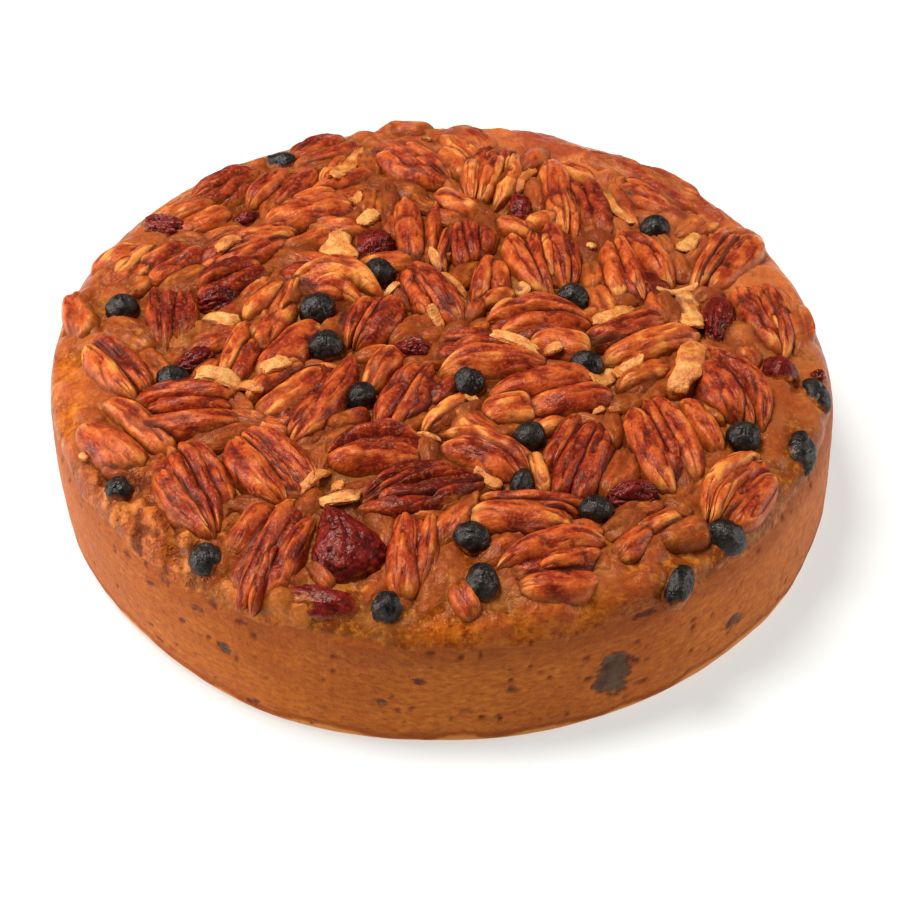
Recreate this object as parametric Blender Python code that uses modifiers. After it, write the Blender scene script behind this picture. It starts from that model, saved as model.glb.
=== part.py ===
"""A round fruit cake, its top set with pecan halves, dark berries and dried red fruit.

Metres, +Z up. The origin is the centre of the cake's flat bottom.
"""
import bpy
import bmesh
from math import atan2, cos, hypot, radians, sin, sqrt
from mathutils import Matrix, Vector

MM = 0.001

# The cake: baked in a 200 mm round tin.
CAKE_RADIUS = 100 * MM       # widest, half way up the side
BASE_RADIUS = 99 * MM        # where the side meets the rounded bottom edge
FOOT_RADIUS = 97 * MM        # the flat that the cake rests on
FOOT_ROUND = 2 * MM          # height of the rounded bottom edge
BELLY_HEIGHT = 17 * MM       # height of the widest part
RIM_RADIUS = 98.4 * MM       # where the side turns over into the top
RIM_HEIGHT = 32 * MM
CROWN_RISE = 9.5 * MM        # rise of the batter from the rim to the middle
CROWN_OUT = 3.2              # exponents of the crown's curve: flat middle, quick fall at the rim
CROWN_UP = 2.8
TURN_STEPS = 48              # facets round the cake
TOP_RINGS = (0.14, 0.28, 0.42, 0.55, 0.66, 0.76, 0.85, 0.92, 0.97)  # shares of the rim radius

GAP = 0.3 * MM               # clearance between a topping and the batter it sits in

PECAN_HEIGHT = 5.4 * MM      # how far a pecan half stands over the batter
PECAN_SIDES = 12             # facets round a pecan's long axis
PECAN_RINGS = 7              # facets along it
GROOVE_DEPTH = 0.28          # share of the radius that a groove cuts in
GROOVE_REACH = radians(30)   # from the bottom of a groove to the top of the lobe beside it
BLUNT = 0.72                 # under 1, the ends of a pecan are blunter than an ellipse's

BERRY_LIFT = 0.18            # height of a berry's middle over the batter, share of its diameter
BERRY_TURN = 50              # degrees from one berry's heading to the next one's
BERRY_DENT = 0.07            # depth of the dents of a dried berry, share of its radius
BERRY_TOP = 0.44             # height of the flattened crown over its middle, share of its diameter
FRUIT_HEIGHT = 5.3 * MM      # how far a red fruit stands over the batter, before its folds
FRUIT_FOLD = 0.13            # depth of the folds of a dried fruit, share of its radius
FRUIT_TAPER = 0.22           # how much narrower than its middle the fruit's far end is
LUMP_SPREAD = 1.4            # how far past a covered nut's edge its lump runs out
SLOPE_STEP = 2 * MM          # distance over which the batter's slope is read

# Pecan halves: x, y, length, width in mm, heading in degrees from +X, grooves, bow, shade.
# The bow is how far the middle stands aside of the ends, as a share of the width.
PECANS = [
    (-57, 66, 21.5, 11.5, 50, 1, 0.1, "dark"),
    (-43, 62, 19, 12, 55, 1, 0.0, "brown"),
    (-8, 75, 27, 17, 130, 3, 0.0, "brown"),
    (14, 69, 27, 14, 78, 2, 0.0, "brown"),
    (32, 58, 27, 10, 100, 1, 0.2, "orange"),
    (56, 64, 25, 15, 130, 2, 0.0, "brown"),
    (75, 37, 27, 13, 57, 2, 0.0, "brown"),
    (83, 10, 25, 15, 108, 1, 0.1, "orange"),
    (50, 25, 27, 17, 105, 2, 0.0, "brown"),
    (29, 31, 25, 17, 100, 3, 0.0, "brown"),
    (8, 37, 17, 14, 75, 2, 0.0, "dark"),
    (-52.5, 34, 24, 12, 28, 1, 0.1, "brown"),
    (-81, 31, 21, 13, 48, 1, 0.0, "brown"),
    (-69, 9, 19, 11, 95, 1, 0.0, "dark"),
    (-32, 22, 22, 13, 165, 1, 0.3, "orange"),
    (-18, 6, 21, 13, 55, 1, 0.0, "brown"),
    (-3, 17, 22, 12, 125, 1, 0.3, "brown"),
    (24, 2, 26, 11, 172, 1, 0.0, "brown"),
    (9, -8, 22, 12, 168, 2, 0.1, "brown"),
    (70, -19, 27, 16, 115, 2, 0.0, "brown"),
    (53.5, -40, 28, 18, 110, 3, 0.0, "brown"),
    (35, -44, 25, 14, 73, 1, 0.1, "brown"),
    (71, -53, 24, 15, 57, 2, 0.0, "orange"),
    (26, -77.5, 25, 16, 22, 2, 0.0, "brown"),
    (-6, -76, 21, 12, 87, 1, 0.0, "orange"),
    (-39, -74, 29, 14, 65, 1, 0.1, "brown"),
    (-60, -54, 29, 18, 117, 3, 0.0, "brown"),
    (-40, -48, 28, 16, 130, 1, 0.1, "brown"),
    (-15, -42, 25, 13, 178, 1, 0.3, "brown"),
    (-5, -57, 27, 13, 12, 2, 0.1, "dark"),
    (10, -45, 21, 11, 140, 1, 0.0, "orange"),
    (-8, -24, 23, 14, 63, 1, 0.0, "brown"),
    (-33, -24, 28, 15, 62, 1, 0.0, "brown"),
    (-80, -11, 23, 13, 128, 1, 0.0, "brown"),
]

# Dark berries: x, y, diameter in mm.
BERRIES = [
    (-80.5, 12.5, 8.6), (-31, 8.5, 8.6), (-28.5, -6, 8.6), (-15.5, 23, 8.2), (33.5, 13, 8.6),
    (56, 43, 8), (-42.5, 76.5, 8.6), (-66, -16.5, 8.4), (-19.5, -24.5, 8), (7, -20, 8.4),
    (36, -13, 8.4), (21.5, -39, 8.2), (73, -36.5, 8.6), (-78, -53, 8), (-56, -75, 7.6),
    (7, -73, 8.2), (36.5, -63.5, 8),
]

# Dried red fruit: x, y, length, width in mm, heading in degrees.
RED_FRUITS = [
    (-7, -6, 10, 8, 10), (-61, -9, 11, 8, 45), (-56.5, 15, 12, 10, 30), (-18.5, 36, 11, 8, 110),
    (-72, 47, 12, 7, -30), (69, 5, 15, 8, 70), (45.5, -57.5, 12, 8, 15), (-21.5, -73, 21, 14, -60),
]

# Nuts that the batter covers, felt as lumps: x, y, length, width in mm, heading, height in mm.
COVERED = [
    (-10, 90, 22, 8, 10, 4), (23, 86, 26, 10, -10, 3), (70, 53, 16, 12, 40, 3),
    (-76, -35, 28, 16, 128, 3.5), (-88, -16, 12, 9, 100, 2.5), (-90, 12, 24, 9, 110, 2.5),
    (-66, -60, 12, 10, 0, 2), (1, -81, 16, 7, 80, 2), (43, -84, 18, 9, 20, 2.5),
    (88, -24, 14, 9, 80, 3), (91, -3, 12, 8, 90, 2.5), (63, -34, 16, 7, 115, 2),
]

SHADES = {
    "crust": ((0.36, 0.13, 0.035), 0.55),
    "dark": ((0.13, 0.025, 0.012), 0.4),
    "brown": ((0.26, 0.06, 0.022), 0.4),
    "orange": ((0.44, 0.15, 0.04), 0.45),
    "berry": ((0.035, 0.028, 0.026), 0.5),
    "red_fruit": ((0.2, 0.02, 0.014), 0.3),
}


def clear_scene():
    for old in list(bpy.data.objects):
        bpy.data.objects.remove(old, do_unlink=True)


def collection(name):
    new = bpy.data.collections.new(name)
    bpy.context.scene.collection.children.link(new)
    return new


def finish(name):
    colour, roughness = SHADES[name]
    material = bpy.data.materials.new(name)
    material.use_nodes = True
    shader = material.node_tree.nodes["Principled BSDF"]
    shader.inputs["Base Color"].default_value = (*colour, 1)
    shader.inputs["Roughness"].default_value = roughness
    shader.inputs["Metallic"].default_value = 0
    return material


def crown(radius):
    """Height of the smooth batter at a distance from the axis, out to the rim."""
    share = min(radius / RIM_RADIUS, 1)
    return RIM_HEIGHT + CROWN_RISE * (1 - share ** CROWN_OUT) ** (1 / CROWN_UP)


def lump(x, y):
    """Extra height where the batter runs over a covered nut."""
    total = 0
    for cx, cy, length, width, heading, height in COVERED:
        turn = Matrix.Rotation(radians(-heading), 2)
        along, across = turn @ Vector((x - cx * MM, y - cy * MM))
        reach = hypot(2 * along / (length * MM), 2 * across / (width * MM))
        total += height * MM * max(0, 1 - (reach / LUMP_SPREAD) ** 2) ** 2
    return total


def top_height(x, y):
    return crown(hypot(x, y)) + lump(x, y)


def cake_profile():
    """Outline from the middle of the top, over the rim and down the side to the axis."""
    top = [(0, crown(0))]
    top += [(share * RIM_RADIUS, crown(share * RIM_RADIUS)) for share in TOP_RINGS]
    side = [
        (RIM_RADIUS, RIM_HEIGHT),
        (CAKE_RADIUS - 0.5 * MM, RIM_HEIGHT - 6 * MM),
        (CAKE_RADIUS, BELLY_HEIGHT),
        (CAKE_RADIUS - 0.2 * MM, BELLY_HEIGHT / 2),
        (BASE_RADIUS, FOOT_ROUND),
    ]
    foot = [((FOOT_RADIUS + BASE_RADIUS) / 2 + 0.4 * MM, 0.5 * MM), (FOOT_RADIUS, 0), (0, 0)]
    return top + side + foot


def turned_mesh(name, profile):
    """A closed mesh of revolution, made by a Screw modifier and then fixed."""
    bm = bmesh.new()
    points = [bm.verts.new((radius, 0, height)) for radius, height in profile]
    for upper, lower in zip(points, points[1:]):
        bm.edges.new((upper, lower))
    outline = bpy.data.meshes.new(name + "_outline")
    bm.to_mesh(outline)
    bm.free()
    guide = bpy.data.objects.new(name + "_outline", outline)
    bpy.context.scene.collection.objects.link(guide)
    screw = guide.modifiers.new("Turn", "SCREW")
    screw.steps = TURN_STEPS
    screw.render_steps = TURN_STEPS
    screw.use_merge_vertices = True
    screw.merge_threshold = 0.05 * MM
    turned = guide.evaluated_get(bpy.context.evaluated_depsgraph_get())
    mesh = bpy.data.meshes.new_from_object(turned)
    mesh.name = name
    bpy.data.objects.remove(guide, do_unlink=True)
    return mesh


def cake_mesh():
    """The turned cake with the lumps of the covered nuts raised in its top."""
    mesh = turned_mesh("cake", cake_profile())
    for vertex in mesh.vertices:
        x, y, z = vertex.co
        if z > RIM_HEIGHT + 0.1 * MM:
            vertex.co.z = z + lump(x, y)
    mesh.shade_smooth()
    mesh.set_sharp_from_angle(angle=radians(40))
    return mesh


def grown(mesh, amount):
    """A copy of a closed mesh with its surface moved out by an amount."""
    bm = bmesh.new()
    bm.from_mesh(mesh)
    bm.normal_update()
    shifts = [vertex.normal * amount for vertex in bm.verts]
    for vertex, shift in zip(bm.verts, shifts):
        vertex.co += shift
    copy = bpy.data.meshes.new(mesh.name + "_grown")
    bm.to_mesh(copy)
    bm.free()
    return copy


def new_object(name, mesh, group, material=None):
    item = bpy.data.objects.new(name, mesh)
    group.objects.link(item)
    if material:
        mesh.materials.append(material)
    return item


def groove(angle, count):
    """How deep the grooves are at an angle from straight up: 0 on a lobe, 1 in a groove.

    One groove runs along the top; two run 30 degrees aside of it; three are one on top and
    one low on each side.
    """
    places = {1: (0,), 2: (-30, 30), 3: (-60, 0, 60)}[count]
    nearest = min(abs(angle - radians(place)) for place in places)
    return max(0, 1 - nearest / GROOVE_REACH)


def pecan_mesh(name, length, width, grooves, bow):
    """A pecan half: a blunt-ended round along X with grooves from end to end."""
    bm = bmesh.new()
    bmesh.ops.create_uvsphere(bm, u_segments=PECAN_SIDES, v_segments=PECAN_RINGS, radius=1)
    for vertex in bm.verts:
        across, up, along = vertex.co
        ring = sqrt(max(0, 1 - along ** 2))
        angle = atan2(across, up)
        dent = 1 - GROOVE_DEPTH * groove(angle, grooves) * (1 - along ** 4)
        spread = ring ** BLUNT * dent
        side = sin(angle) * spread + bow * (0.5 - along ** 2)
        vertex.co = Vector((along * length / 2, side * width / 2, cos(angle) * spread * PECAN_HEIGHT))
    bmesh.ops.recalc_face_normals(bm, faces=bm.faces)
    return finished_mesh(bm, name)


def berry_mesh(name, diameter):
    """A dried berry: a round with shallow dents and a flattened crown."""
    bm = bmesh.new()
    bmesh.ops.create_icosphere(bm, subdivisions=2, radius=1)
    for vertex in bm.verts:
        x, y, z = vertex.co
        dent = sin(5 * x + 1) * cos(4 * y) * sin(3 * z + 2)
        vertex.co = vertex.co * (1 - BERRY_DENT * (0.5 + dent)) * diameter / 2
        vertex.co.z = min(vertex.co.z, BERRY_TOP * diameter)
    return finished_mesh(bm, name)


def fruit_mesh(name, length, width):
    """A dried red fruit: a drop with soft folds along it."""
    bm = bmesh.new()
    bmesh.ops.create_icosphere(bm, subdivisions=2, radius=1)
    for vertex in bm.verts:
        x, y, z = vertex.co
        fold = FRUIT_FOLD * cos(4 * atan2(y, z)) * (1 - x ** 2)
        shape = (1 - FRUIT_FOLD - fold) * (1 - FRUIT_TAPER * x)
        vertex.co = Vector((x * length / 2, y * shape * width / 2, z * shape * FRUIT_HEIGHT))
    return finished_mesh(bm, name)


def finished_mesh(bm, name):
    mesh = bpy.data.meshes.new(name)
    bm.to_mesh(mesh)
    bm.free()
    mesh.shade_smooth()
    mesh.set_sharp_from_angle(angle=radians(50))
    return mesh


def set_on_cake(item, x, y, heading, lift, cutter, anchor):
    """Place a topping on the batter, leaning with its slope, and trim it clear of the cake."""
    rise_x = top_height(x + SLOPE_STEP, y) - top_height(x - SLOPE_STEP, y)
    rise_y = top_height(x, y + SLOPE_STEP) - top_height(x, y - SLOPE_STEP)
    upright = Vector((-rise_x, -rise_y, 2 * SLOPE_STEP)).normalized()
    lean = Vector((0, 0, 1)).rotation_difference(upright)
    item.rotation_mode = "QUATERNION"
    item.rotation_quaternion = lean @ Matrix.Rotation(radians(heading), 3, "Z").to_quaternion()
    item.location = Vector((x, y, top_height(x, y))) + upright * lift
    item.parent = anchor
    seat = item.modifiers.new("Seat", "BOOLEAN")
    seat.operation = "DIFFERENCE"
    seat.solver = "EXACT"
    seat.object = cutter


def add_pecans(group, cutter, anchor):
    materials = {shade: finish(shade) for shade in ("dark", "brown", "orange")}
    for number, (x, y, length, width, heading, grooves, bow, shade) in enumerate(PECANS, 1):
        name = f"pecan_{number:02d}"
        mesh = pecan_mesh(name, length * MM, width * MM, grooves, bow)
        item = new_object(name, mesh, group, materials[shade])
        set_on_cake(item, x * MM, y * MM, heading, 0, cutter, anchor)


def add_berries(group, cutter, anchor):
    material = finish("berry")
    for number, (x, y, diameter) in enumerate(BERRIES, 1):
        name = f"berry_{number:02d}"
        item = new_object(name, berry_mesh(name, diameter * MM), group, material)
        heading = BERRY_TURN * number
        lift = BERRY_LIFT * diameter * MM
        set_on_cake(item, x * MM, y * MM, heading, lift, cutter, anchor)


def add_red_fruits(group, cutter, anchor):
    material = finish("red_fruit")
    for number, (x, y, length, width, heading) in enumerate(RED_FRUITS, 1):
        name = f"red_fruit_{number:02d}"
        mesh = fruit_mesh(name, length * MM, width * MM)
        item = new_object(name, mesh, group, material)
        set_on_cake(item, x * MM, y * MM, heading, 0, cutter, anchor)


def main():
    clear_scene()
    parts = collection("fruit_cake")
    cutters = collection("cutters")

    anchor = bpy.data.objects.new("cake_foot", None)
    parts.objects.link(anchor)

    cake = new_object("cake", cake_mesh(), parts, finish("crust"))
    cake.parent = anchor

    cutter = new_object("batter_clearance", grown(cake.data, GAP), cutters)
    cutter.hide_render = True
    cutter.display_type = "WIRE"

    add_pecans(parts, cutter, anchor)
    add_berries(parts, cutter, anchor)
    add_red_fruits(parts, cutter, anchor)


main()
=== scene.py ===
# %% [markdown]
# # A fruit cake with pecans, berries and dried fruit
#
# This lesson dresses a plain measured model of a round fruit cake. The measured model gives the
# size and the place of the cake and of its largest toppings. Here each of them gets a fine mesh
# and a baked, glazed finish, and the many smaller toppings are added.

# %% Load the measured model
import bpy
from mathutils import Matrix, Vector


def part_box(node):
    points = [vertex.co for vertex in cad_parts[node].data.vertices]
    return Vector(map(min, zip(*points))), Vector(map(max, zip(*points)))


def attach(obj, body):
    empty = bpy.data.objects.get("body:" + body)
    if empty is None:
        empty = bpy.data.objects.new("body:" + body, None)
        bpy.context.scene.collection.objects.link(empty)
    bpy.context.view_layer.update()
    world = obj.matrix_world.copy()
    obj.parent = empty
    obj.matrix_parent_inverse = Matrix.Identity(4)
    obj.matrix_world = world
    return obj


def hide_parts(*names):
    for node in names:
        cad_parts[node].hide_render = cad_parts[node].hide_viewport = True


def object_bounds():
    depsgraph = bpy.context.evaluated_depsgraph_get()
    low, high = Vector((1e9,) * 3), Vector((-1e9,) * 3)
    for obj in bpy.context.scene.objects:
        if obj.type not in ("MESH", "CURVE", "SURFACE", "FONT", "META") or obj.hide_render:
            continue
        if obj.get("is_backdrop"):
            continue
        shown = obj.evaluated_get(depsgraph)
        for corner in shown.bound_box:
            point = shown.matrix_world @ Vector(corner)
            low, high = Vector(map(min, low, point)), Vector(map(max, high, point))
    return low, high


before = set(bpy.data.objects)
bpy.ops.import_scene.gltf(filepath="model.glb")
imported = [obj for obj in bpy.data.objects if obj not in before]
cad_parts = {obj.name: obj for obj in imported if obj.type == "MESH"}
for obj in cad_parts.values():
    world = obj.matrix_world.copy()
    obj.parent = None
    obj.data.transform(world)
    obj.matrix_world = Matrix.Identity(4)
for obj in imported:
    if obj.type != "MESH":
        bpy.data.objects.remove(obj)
CAD_BOX = [list(corner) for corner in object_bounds()]

from math import atan2, cos, pi, radians, sin

import bmesh
import bpy
import numpy as np
from mathutils import Vector

print("measured model:", len(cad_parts), "nodes, box", CAD_BOX)

# %% [markdown]
# All the shapes below are worked out in millimetres, which suit a cake, and turned to metres
# only when a mesh is written. The cake's own sizes come from the measured model: how wide it is
# and how high its rim and its crown stand.

# %% Sizes of the cake
MM = 0.001
low, high = (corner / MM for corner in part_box("cake"))
CAKE_RADIUS = (high.x - low.x) / 2
RIM_RADIUS = 0.984 * CAKE_RADIUS      # where the side turns over into the top
RIM_HEIGHT = 32.0
CROWN_RISE = 9.5                      # mm from the rim up to the middle
CROWN_OUT, CROWN_UP = 3.2, 2.8        # flat in the middle, quick to fall at the rim
print(f"cake {2 * CAKE_RADIUS:.1f} mm across, {high.z:.1f} mm high with its covered nuts")

# %% [markdown]
# Nothing on a cake is even, so most shapes and colours are disturbed by a soft noise. It is made
# the classic way: random values on a lattice of cells, blended smoothly from corner to corner.
# The lattice comes from a seeded generator, so each run gives the same cake.

# %% A soft noise
CELLS = 32                            # after so many cells the noise repeats
LATTICE = np.random.default_rng(7).uniform(-1, 1, (CELLS, CELLS, CELLS))


def noise(x, y, z, size):
    """Soft noise from about -1 to 1 whose lumps are about `size` mm across."""
    at = np.stack(np.broadcast_arrays(x, y, z), -1) / size
    cell = np.floor(at).astype(int)
    part = at - cell
    part = part * part * (3 - 2 * part)
    total = 0
    for corner in np.ndindex(2, 2, 2):
        weight = np.prod(np.where(corner, part, 1 - part), -1)
        i, j, k = np.moveaxis((cell + corner) % CELLS, -1, 0)
        total = total + weight * LATTICE[i, j, k]
    return total


def rough(x, y, z, size, layers=3):
    """Several noises on top of each other, each half the size and strength of the last."""
    return sum(noise(x + 37 * n, y, z, size / 2 ** n) / 2 ** n for n in range(layers))


def step(value, start, end):
    """0 up to start, 1 from end on and a soft slope between; start may be the larger one."""
    share = np.clip((value - start) / (end - start), 0, 1)
    return share * share * (3 - 2 * share)


print("noise inside the cake:", np.round(noise(np.arange(4.0), 0, 20, 9), 2))

# %% [markdown]
# ## Where the toppings lie
#
# Each topping is described by a few numbers, as a baker would: what it is, where it lies, how
# long and wide it is and which way it points. The large ones are read from the measured model,
# by the direction in which their points spread most. The small ones are listed.

# %% A topping, and how to read one from the measured model
class Topping:
    """One nut, berry or fruit: x, y, length and width in mm, heading in degrees from +X."""

    def __init__(self, x, y, length, width, heading=0, **looks):
        self.x, self.y = x, y
        self.length, self.width = length, width
        self.heading = heading
        self.tone, self.pale, self.film = 0.5, 0, 0
        self.bow, self.height, self.sunk, self.seed = 0, 5, 0, 0
        self.arch, self.taper = 2.5, 0
        self.ahead, self.aside, self.half = 0, 0, 0
        self.__dict__.update(looks)


def local(topping, x, y):
    """Plan coordinates along and across a topping, in mm from its middle."""
    turn = radians(topping.heading)
    dx, dy = x - topping.x, y - topping.y
    along = dx * cos(turn) + dy * sin(turn)
    across = -dx * sin(turn) + dy * cos(turn)
    return along, across


def measured(node, **looks):
    """The topping that a node of the measured model stands for."""
    points = np.array([vertex.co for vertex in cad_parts[node].data.vertices]) / MM
    flat = points[:, :2]
    spread = np.cov((flat - flat.mean(0)).T)
    along = np.linalg.eigh(spread)[1][:, 1]
    across = np.array([-along[1], along[0]])
    ends = [(flat @ axis).min() for axis in (along, across)]
    far = [(flat @ axis).max() for axis in (along, across)]
    middle = along * (ends[0] + far[0]) / 2 + across * (ends[1] + far[1]) / 2
    heading = np.degrees(atan2(along[1], along[0])) % 180
    return Topping(*middle, far[0] - ends[0], far[1] - ends[1], heading, **looks)


one = measured("pecan_01")
print(f"pecan_01 measures {one.length:.1f} by {one.width:.1f} mm")

# %% [markdown]
# A pecan half is two to five long lobes side by side, each as round as a finger. So a nut is
# listed lobe by lobe. The tone of a nut runs from 0, dark red, to 1, pale orange, and a broken
# end is pale: 1 is the end its heading points to, -1 the other one and 2 both.

# %% The measured toppings
LOBES = {  # x, y, length, width, heading, bow of each lobe, and its tone if it stands out
    1: [(-58.5, 67, 18.5, 6, 38, 0), (-55.5, 63, 21.5, 4.5, 42, 0),
         (-50.5, 61.5, 20, 4.5, 53, 0)],
    2: [(-45.5, 62, 16.5, 6, 55, 0), (-38, 61.5, 19.5, 6.5, 53, 0)],
    3: [(-8, 68, 24.5, 9, 133, 0), (-5, 69.5, 20, 3, 130, 0), (-3, 72.5, 22, 4, 126, 0)],
    4: [(8, 63.5, 18.5, 4, 83, 0), (13.5, 63, 22.5, 4, 77, 0), (18.5, 64, 27, 5, 82, 0)],
    5: [(31, 57, 31.5, 6.5, 96, 0), (34.5, 48.5, 22, 2, 97, 0)],
    6: [(55.5, 56, 22, 6.5, 133, 0), (59.5, 60, 22.5, 4, 134, 0), (62, 65, 21.5, 7, 135, 0)],
    7: [(69, 31.5, 28.5, 3, 65, 0), (72, 32, 25, 2.5, 63, 0), (76.5, 31.5, 27, 7.5, 63, 0)],
    8: [(79.5, 7.5, 25.5, 6, 109, 0), (82.5, 10.5, 21, 2.5, 105, 0), (85.5, 9, 28, 4.5, 98, 0),
         (89, 9, 24, 4, 99, 0), (92, 8, 16, 3, 98, 0)],
    9: [(44, 25.5, 22, 5, 98, 0), (48.5, 26.5, 27, 3.5, 102, 0), (54, 31, 24.5, 7.5, 111, 0)],
    10: [(21, 27.5, 25, 6.5, 108, 0), (25, 28.5, 26, 3, 98, 0), (28, 31, 17, 2, 95, 0),
         (30.5, 30.5, 26, 4.5, 98, 0), (34.5, 28, 18.5, 2.5, 93, 0)],
    11: [(1, 35, 18.5, 2.5, 75, 0, 0.85), (5, 34.5, 16.5, 4, 92, 0, 0.25),
         (8, 36, 15.5, 4, 92, 0, 0.2), (11.5, 37, 10, 3.5, 89, 0, 0.3)],
    12: [(-49.5, 39, 24, 4, 21, 0), (-48.5, 35, 22.5, 4, 25, 0), (-48.5, 31.5, 22.5, 5.5, 28, 0)],
    13: [(-84, 34, 14, 9, 46, 0), (-79, 33, 14.5, 5, 50, 0), (-75.5, 30.5, 18.5, 4.5, 63, 0)],
    14: [(-72, 8.5, 23.5, 3.5, 98, 0), (-69, 7, 22, 3, 93, 0), (-64.5, 8, 20.5, 5.5, 92, 0)],
    15: [(-27, 16.5, 23.5, 8, 166, -9), (-39, 13, 17.5, 4, 70, 0), (-28, 13, 15, 4.5, 167, -6)],
    16: [(-21, 4.5, 16.5, 3.5, 69, 0), (-18, 4, 18, 2, 69, 0), (-14.5, 4, 20.5, 8, 65, 0)],
    17: [(-6, 14.5, 19.5, 4, 110, 0), (-0.5, 14.5, 26.5, 8, 119, 0)],
    18: [(25, 3, 27, 5.5, 0, 6), (26.5, 0, 22.5, 5, 7, 3.5)],
    19: [(6.5, -3, 13, 5, 3, 0), (13.5, -15, 26.5, 11, 2, 4), (13, -9, 21.5, 4, 177, -3)],
    20: [(68.5, -21, 21, 10, 111, 0), (71.5, -20.5, 24, 3, 112, -0.5),
         (73, -19, 29, 5.5, 117, -4), (76.5, -13.5, 15, 3.5, 114, 0)],
    21: [(50, -43, 29.5, 7.5, 104, 0), (53.5, -37, 23, 2.5, 107, 0), (58, -38, 30.5, 6, 108, 0)],
    22: [(29, -40, 20.5, 4, 66, 0), (32, -47, 25.5, 5.5, 68, 0), (36, -49.5, 25.5, 5.5, 75, 0)],
    23: [(69, -53, 26, 4, 57, 3.5), (71, -54.5, 24, 3, 56, 2.5), (74.5, -56.5, 19.5, 6, 59, 0)],
    24: [(25.5, -77, 26, 7, 20, 2.5), (30, -79.5, 15.5, 2.5, 18, 0),
         (27.5, -86, 19.5, 7.5, 11, 0)],
    25: [(-8.5, -77.5, 24, 6.5, 89, 0, 0.5), (-3.5, -76, 21, 3.5, 81, 0, 0.5)],
    26: [(-41, -74.5, 30, 4, 69, 0), (-41, -82, 15.5, 2.5, 72, 0), (-35, -76.5, 24, 5.5, 68, 0),
         (-34, -77, 14, 2, 72, 0)],
    27: [(-61.5, -59.5, 24.5, 5.5, 120, 0), (-59.5, -55, 31.5, 3.5, 113, 0),
         (-56.5, -53, 29.5, 3.5, 111, 0), (-54.5, -49, 25, 4.5, 114, 0)],
    28: [(-45, -50, 24, 8.5, 123, 0), (-41.5, -47, 24, 2.5, 123, 0), (-37, -45, 26, 6.5, 129, 0)],
    29: [(-16, -42, 22, 5, 12, 4), (-16, -48, 22.5, 9.5, 4, 2)],
    30: [(-8, -54.5, 24, 4.5, 25, 2.5), (-5.5, -57, 28, 3, 20, 2.5),
         (-2.5, -57, 25.5, 4.5, 13, -1.5), (-4, -60, 31, 5, 16, -2)],
    31: [(11, -45, 24, 5, 147, -4), (9, -48.5, 21, 8, 151, -3)],
    32: [(-10.5, -24, 25, 6.5, 63, 0), (-6.5, -24.5, 25, 3, 67, 0)],
    33: [(-27, -24.5, 34.5, 7.5, 65, 0), (-32.5, -30.5, 16, 3, 62, 0)],
    34: [(-78.5, -9.5, 26.5, 6, 125, 0), (-82.5, -12.5, 26, 6.5, 122, 0, 0.85)],
}
NUT_LOOKS = [  # tone, pale end, film of batter on it in mm
    (0.15, 0, 0.3), (0.45, 0, 0.3), (0.55, 0, 0.7), (0.8, -1, 0.9), (0.65, -1, 0.4), (0.5, 0, 0.7),
    (0.5, -1, 0.4), (0.5, -1, 0.4), (0.55, -1, 0.1), (0.5, -1, 0.1), (0.35, 0, 0.3),
    (0.6, 0, 0.6), (0.75, 0, 0.3), (0.12, 0, 0), (0.75, 0, 0.5), (0.5, 0, 0.1), (0.45, -1, 0.3),
    (0.5, 0, 0.1), (0.45, -1, 0.1), (0.5, 0, 0.2), (0.45, -1, 0.1), (0.38, 0, 0.1),
    (0.75, 0, 0.1), (0.6, 0, 0.4), (0.55, 0, 0.3), (0.4, 0, 0.1), (0.45, 1, 0.1),
    (0.45, 0, 0.3), (0.4, 0, 0.1), (0.05, 0, 0), (0.55, 1, 0.5), (0.5, 0, 0.1), (0.5, 0, 0.1),
    (0.45, 0, 1),
]
NOT_DRAWN_IN = (25, 26)               # nuts whose lobes don't draw in at the ends
pecans = {}
for number, (tone, pale, cover) in enumerate(NUT_LOOKS, 1):
    dice = np.random.default_rng(number)
    # the low round that lies under the lobes, a little smaller than the whole nut, in a darker
    # tone that is painted shade at the bottom of the creases
    nut = measured(f"pecan_{number:02d}", tone=tone - 0.35, height=3.8, arch=4, seed=number)
    nut.length, nut.width = 0.9 * nut.length, 0.9 * nut.width
    nut.lobes = []
    for place, (x, y, length, width, heading, bow, *own_tone) in enumerate(LOBES[number]):
        lobe = Topping(x, y, length, width, heading, bow=bow, pale=pale, film=0.5 * cover,
                       height=4.9 + 0.2 * width, seed=1000 + 10 * number + place)
        lobe.tone = own_tone[0] if own_tone else tone + dice.uniform(-0.15, 0.15)
        back, side = local(lobe, nut.x, nut.y)
        lobe.ahead, lobe.aside = -back, -side
        lobe.sunk = min(1.5 * (2 * side / nut.width) ** 2, 1.3)
        nut.half = max(nut.half, abs(back) + length / 2 + 1)
        nut.lobes.append(lobe)
    if number in NOT_DRAWN_IN:
        nut.half = 0
    for lobe in nut.lobes:
        lobe.half = nut.half
    pecans[f"pecan_{number:02d}"] = nut
berries = {n: measured(n) for n in sorted(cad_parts) if n.startswith("berry")}
fruits = {n: measured(n) for n in sorted(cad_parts) if n.startswith("red_fruit")}

# wrinkles eat into a ball, so each berry starts a little larger than measured
GROWTH = (1.1, 1.2, 1.18, 1.08, 1.1, 1.05, 1, 1.08, 1.1, 1.1, 1.1, 1.08, 1.16, 1.06, 1.16, 1.16, 1.1)
for topping, growth in zip(berries.values(), GROWTH):
    topping.length, topping.width = growth * topping.length, growth * topping.width

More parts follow.
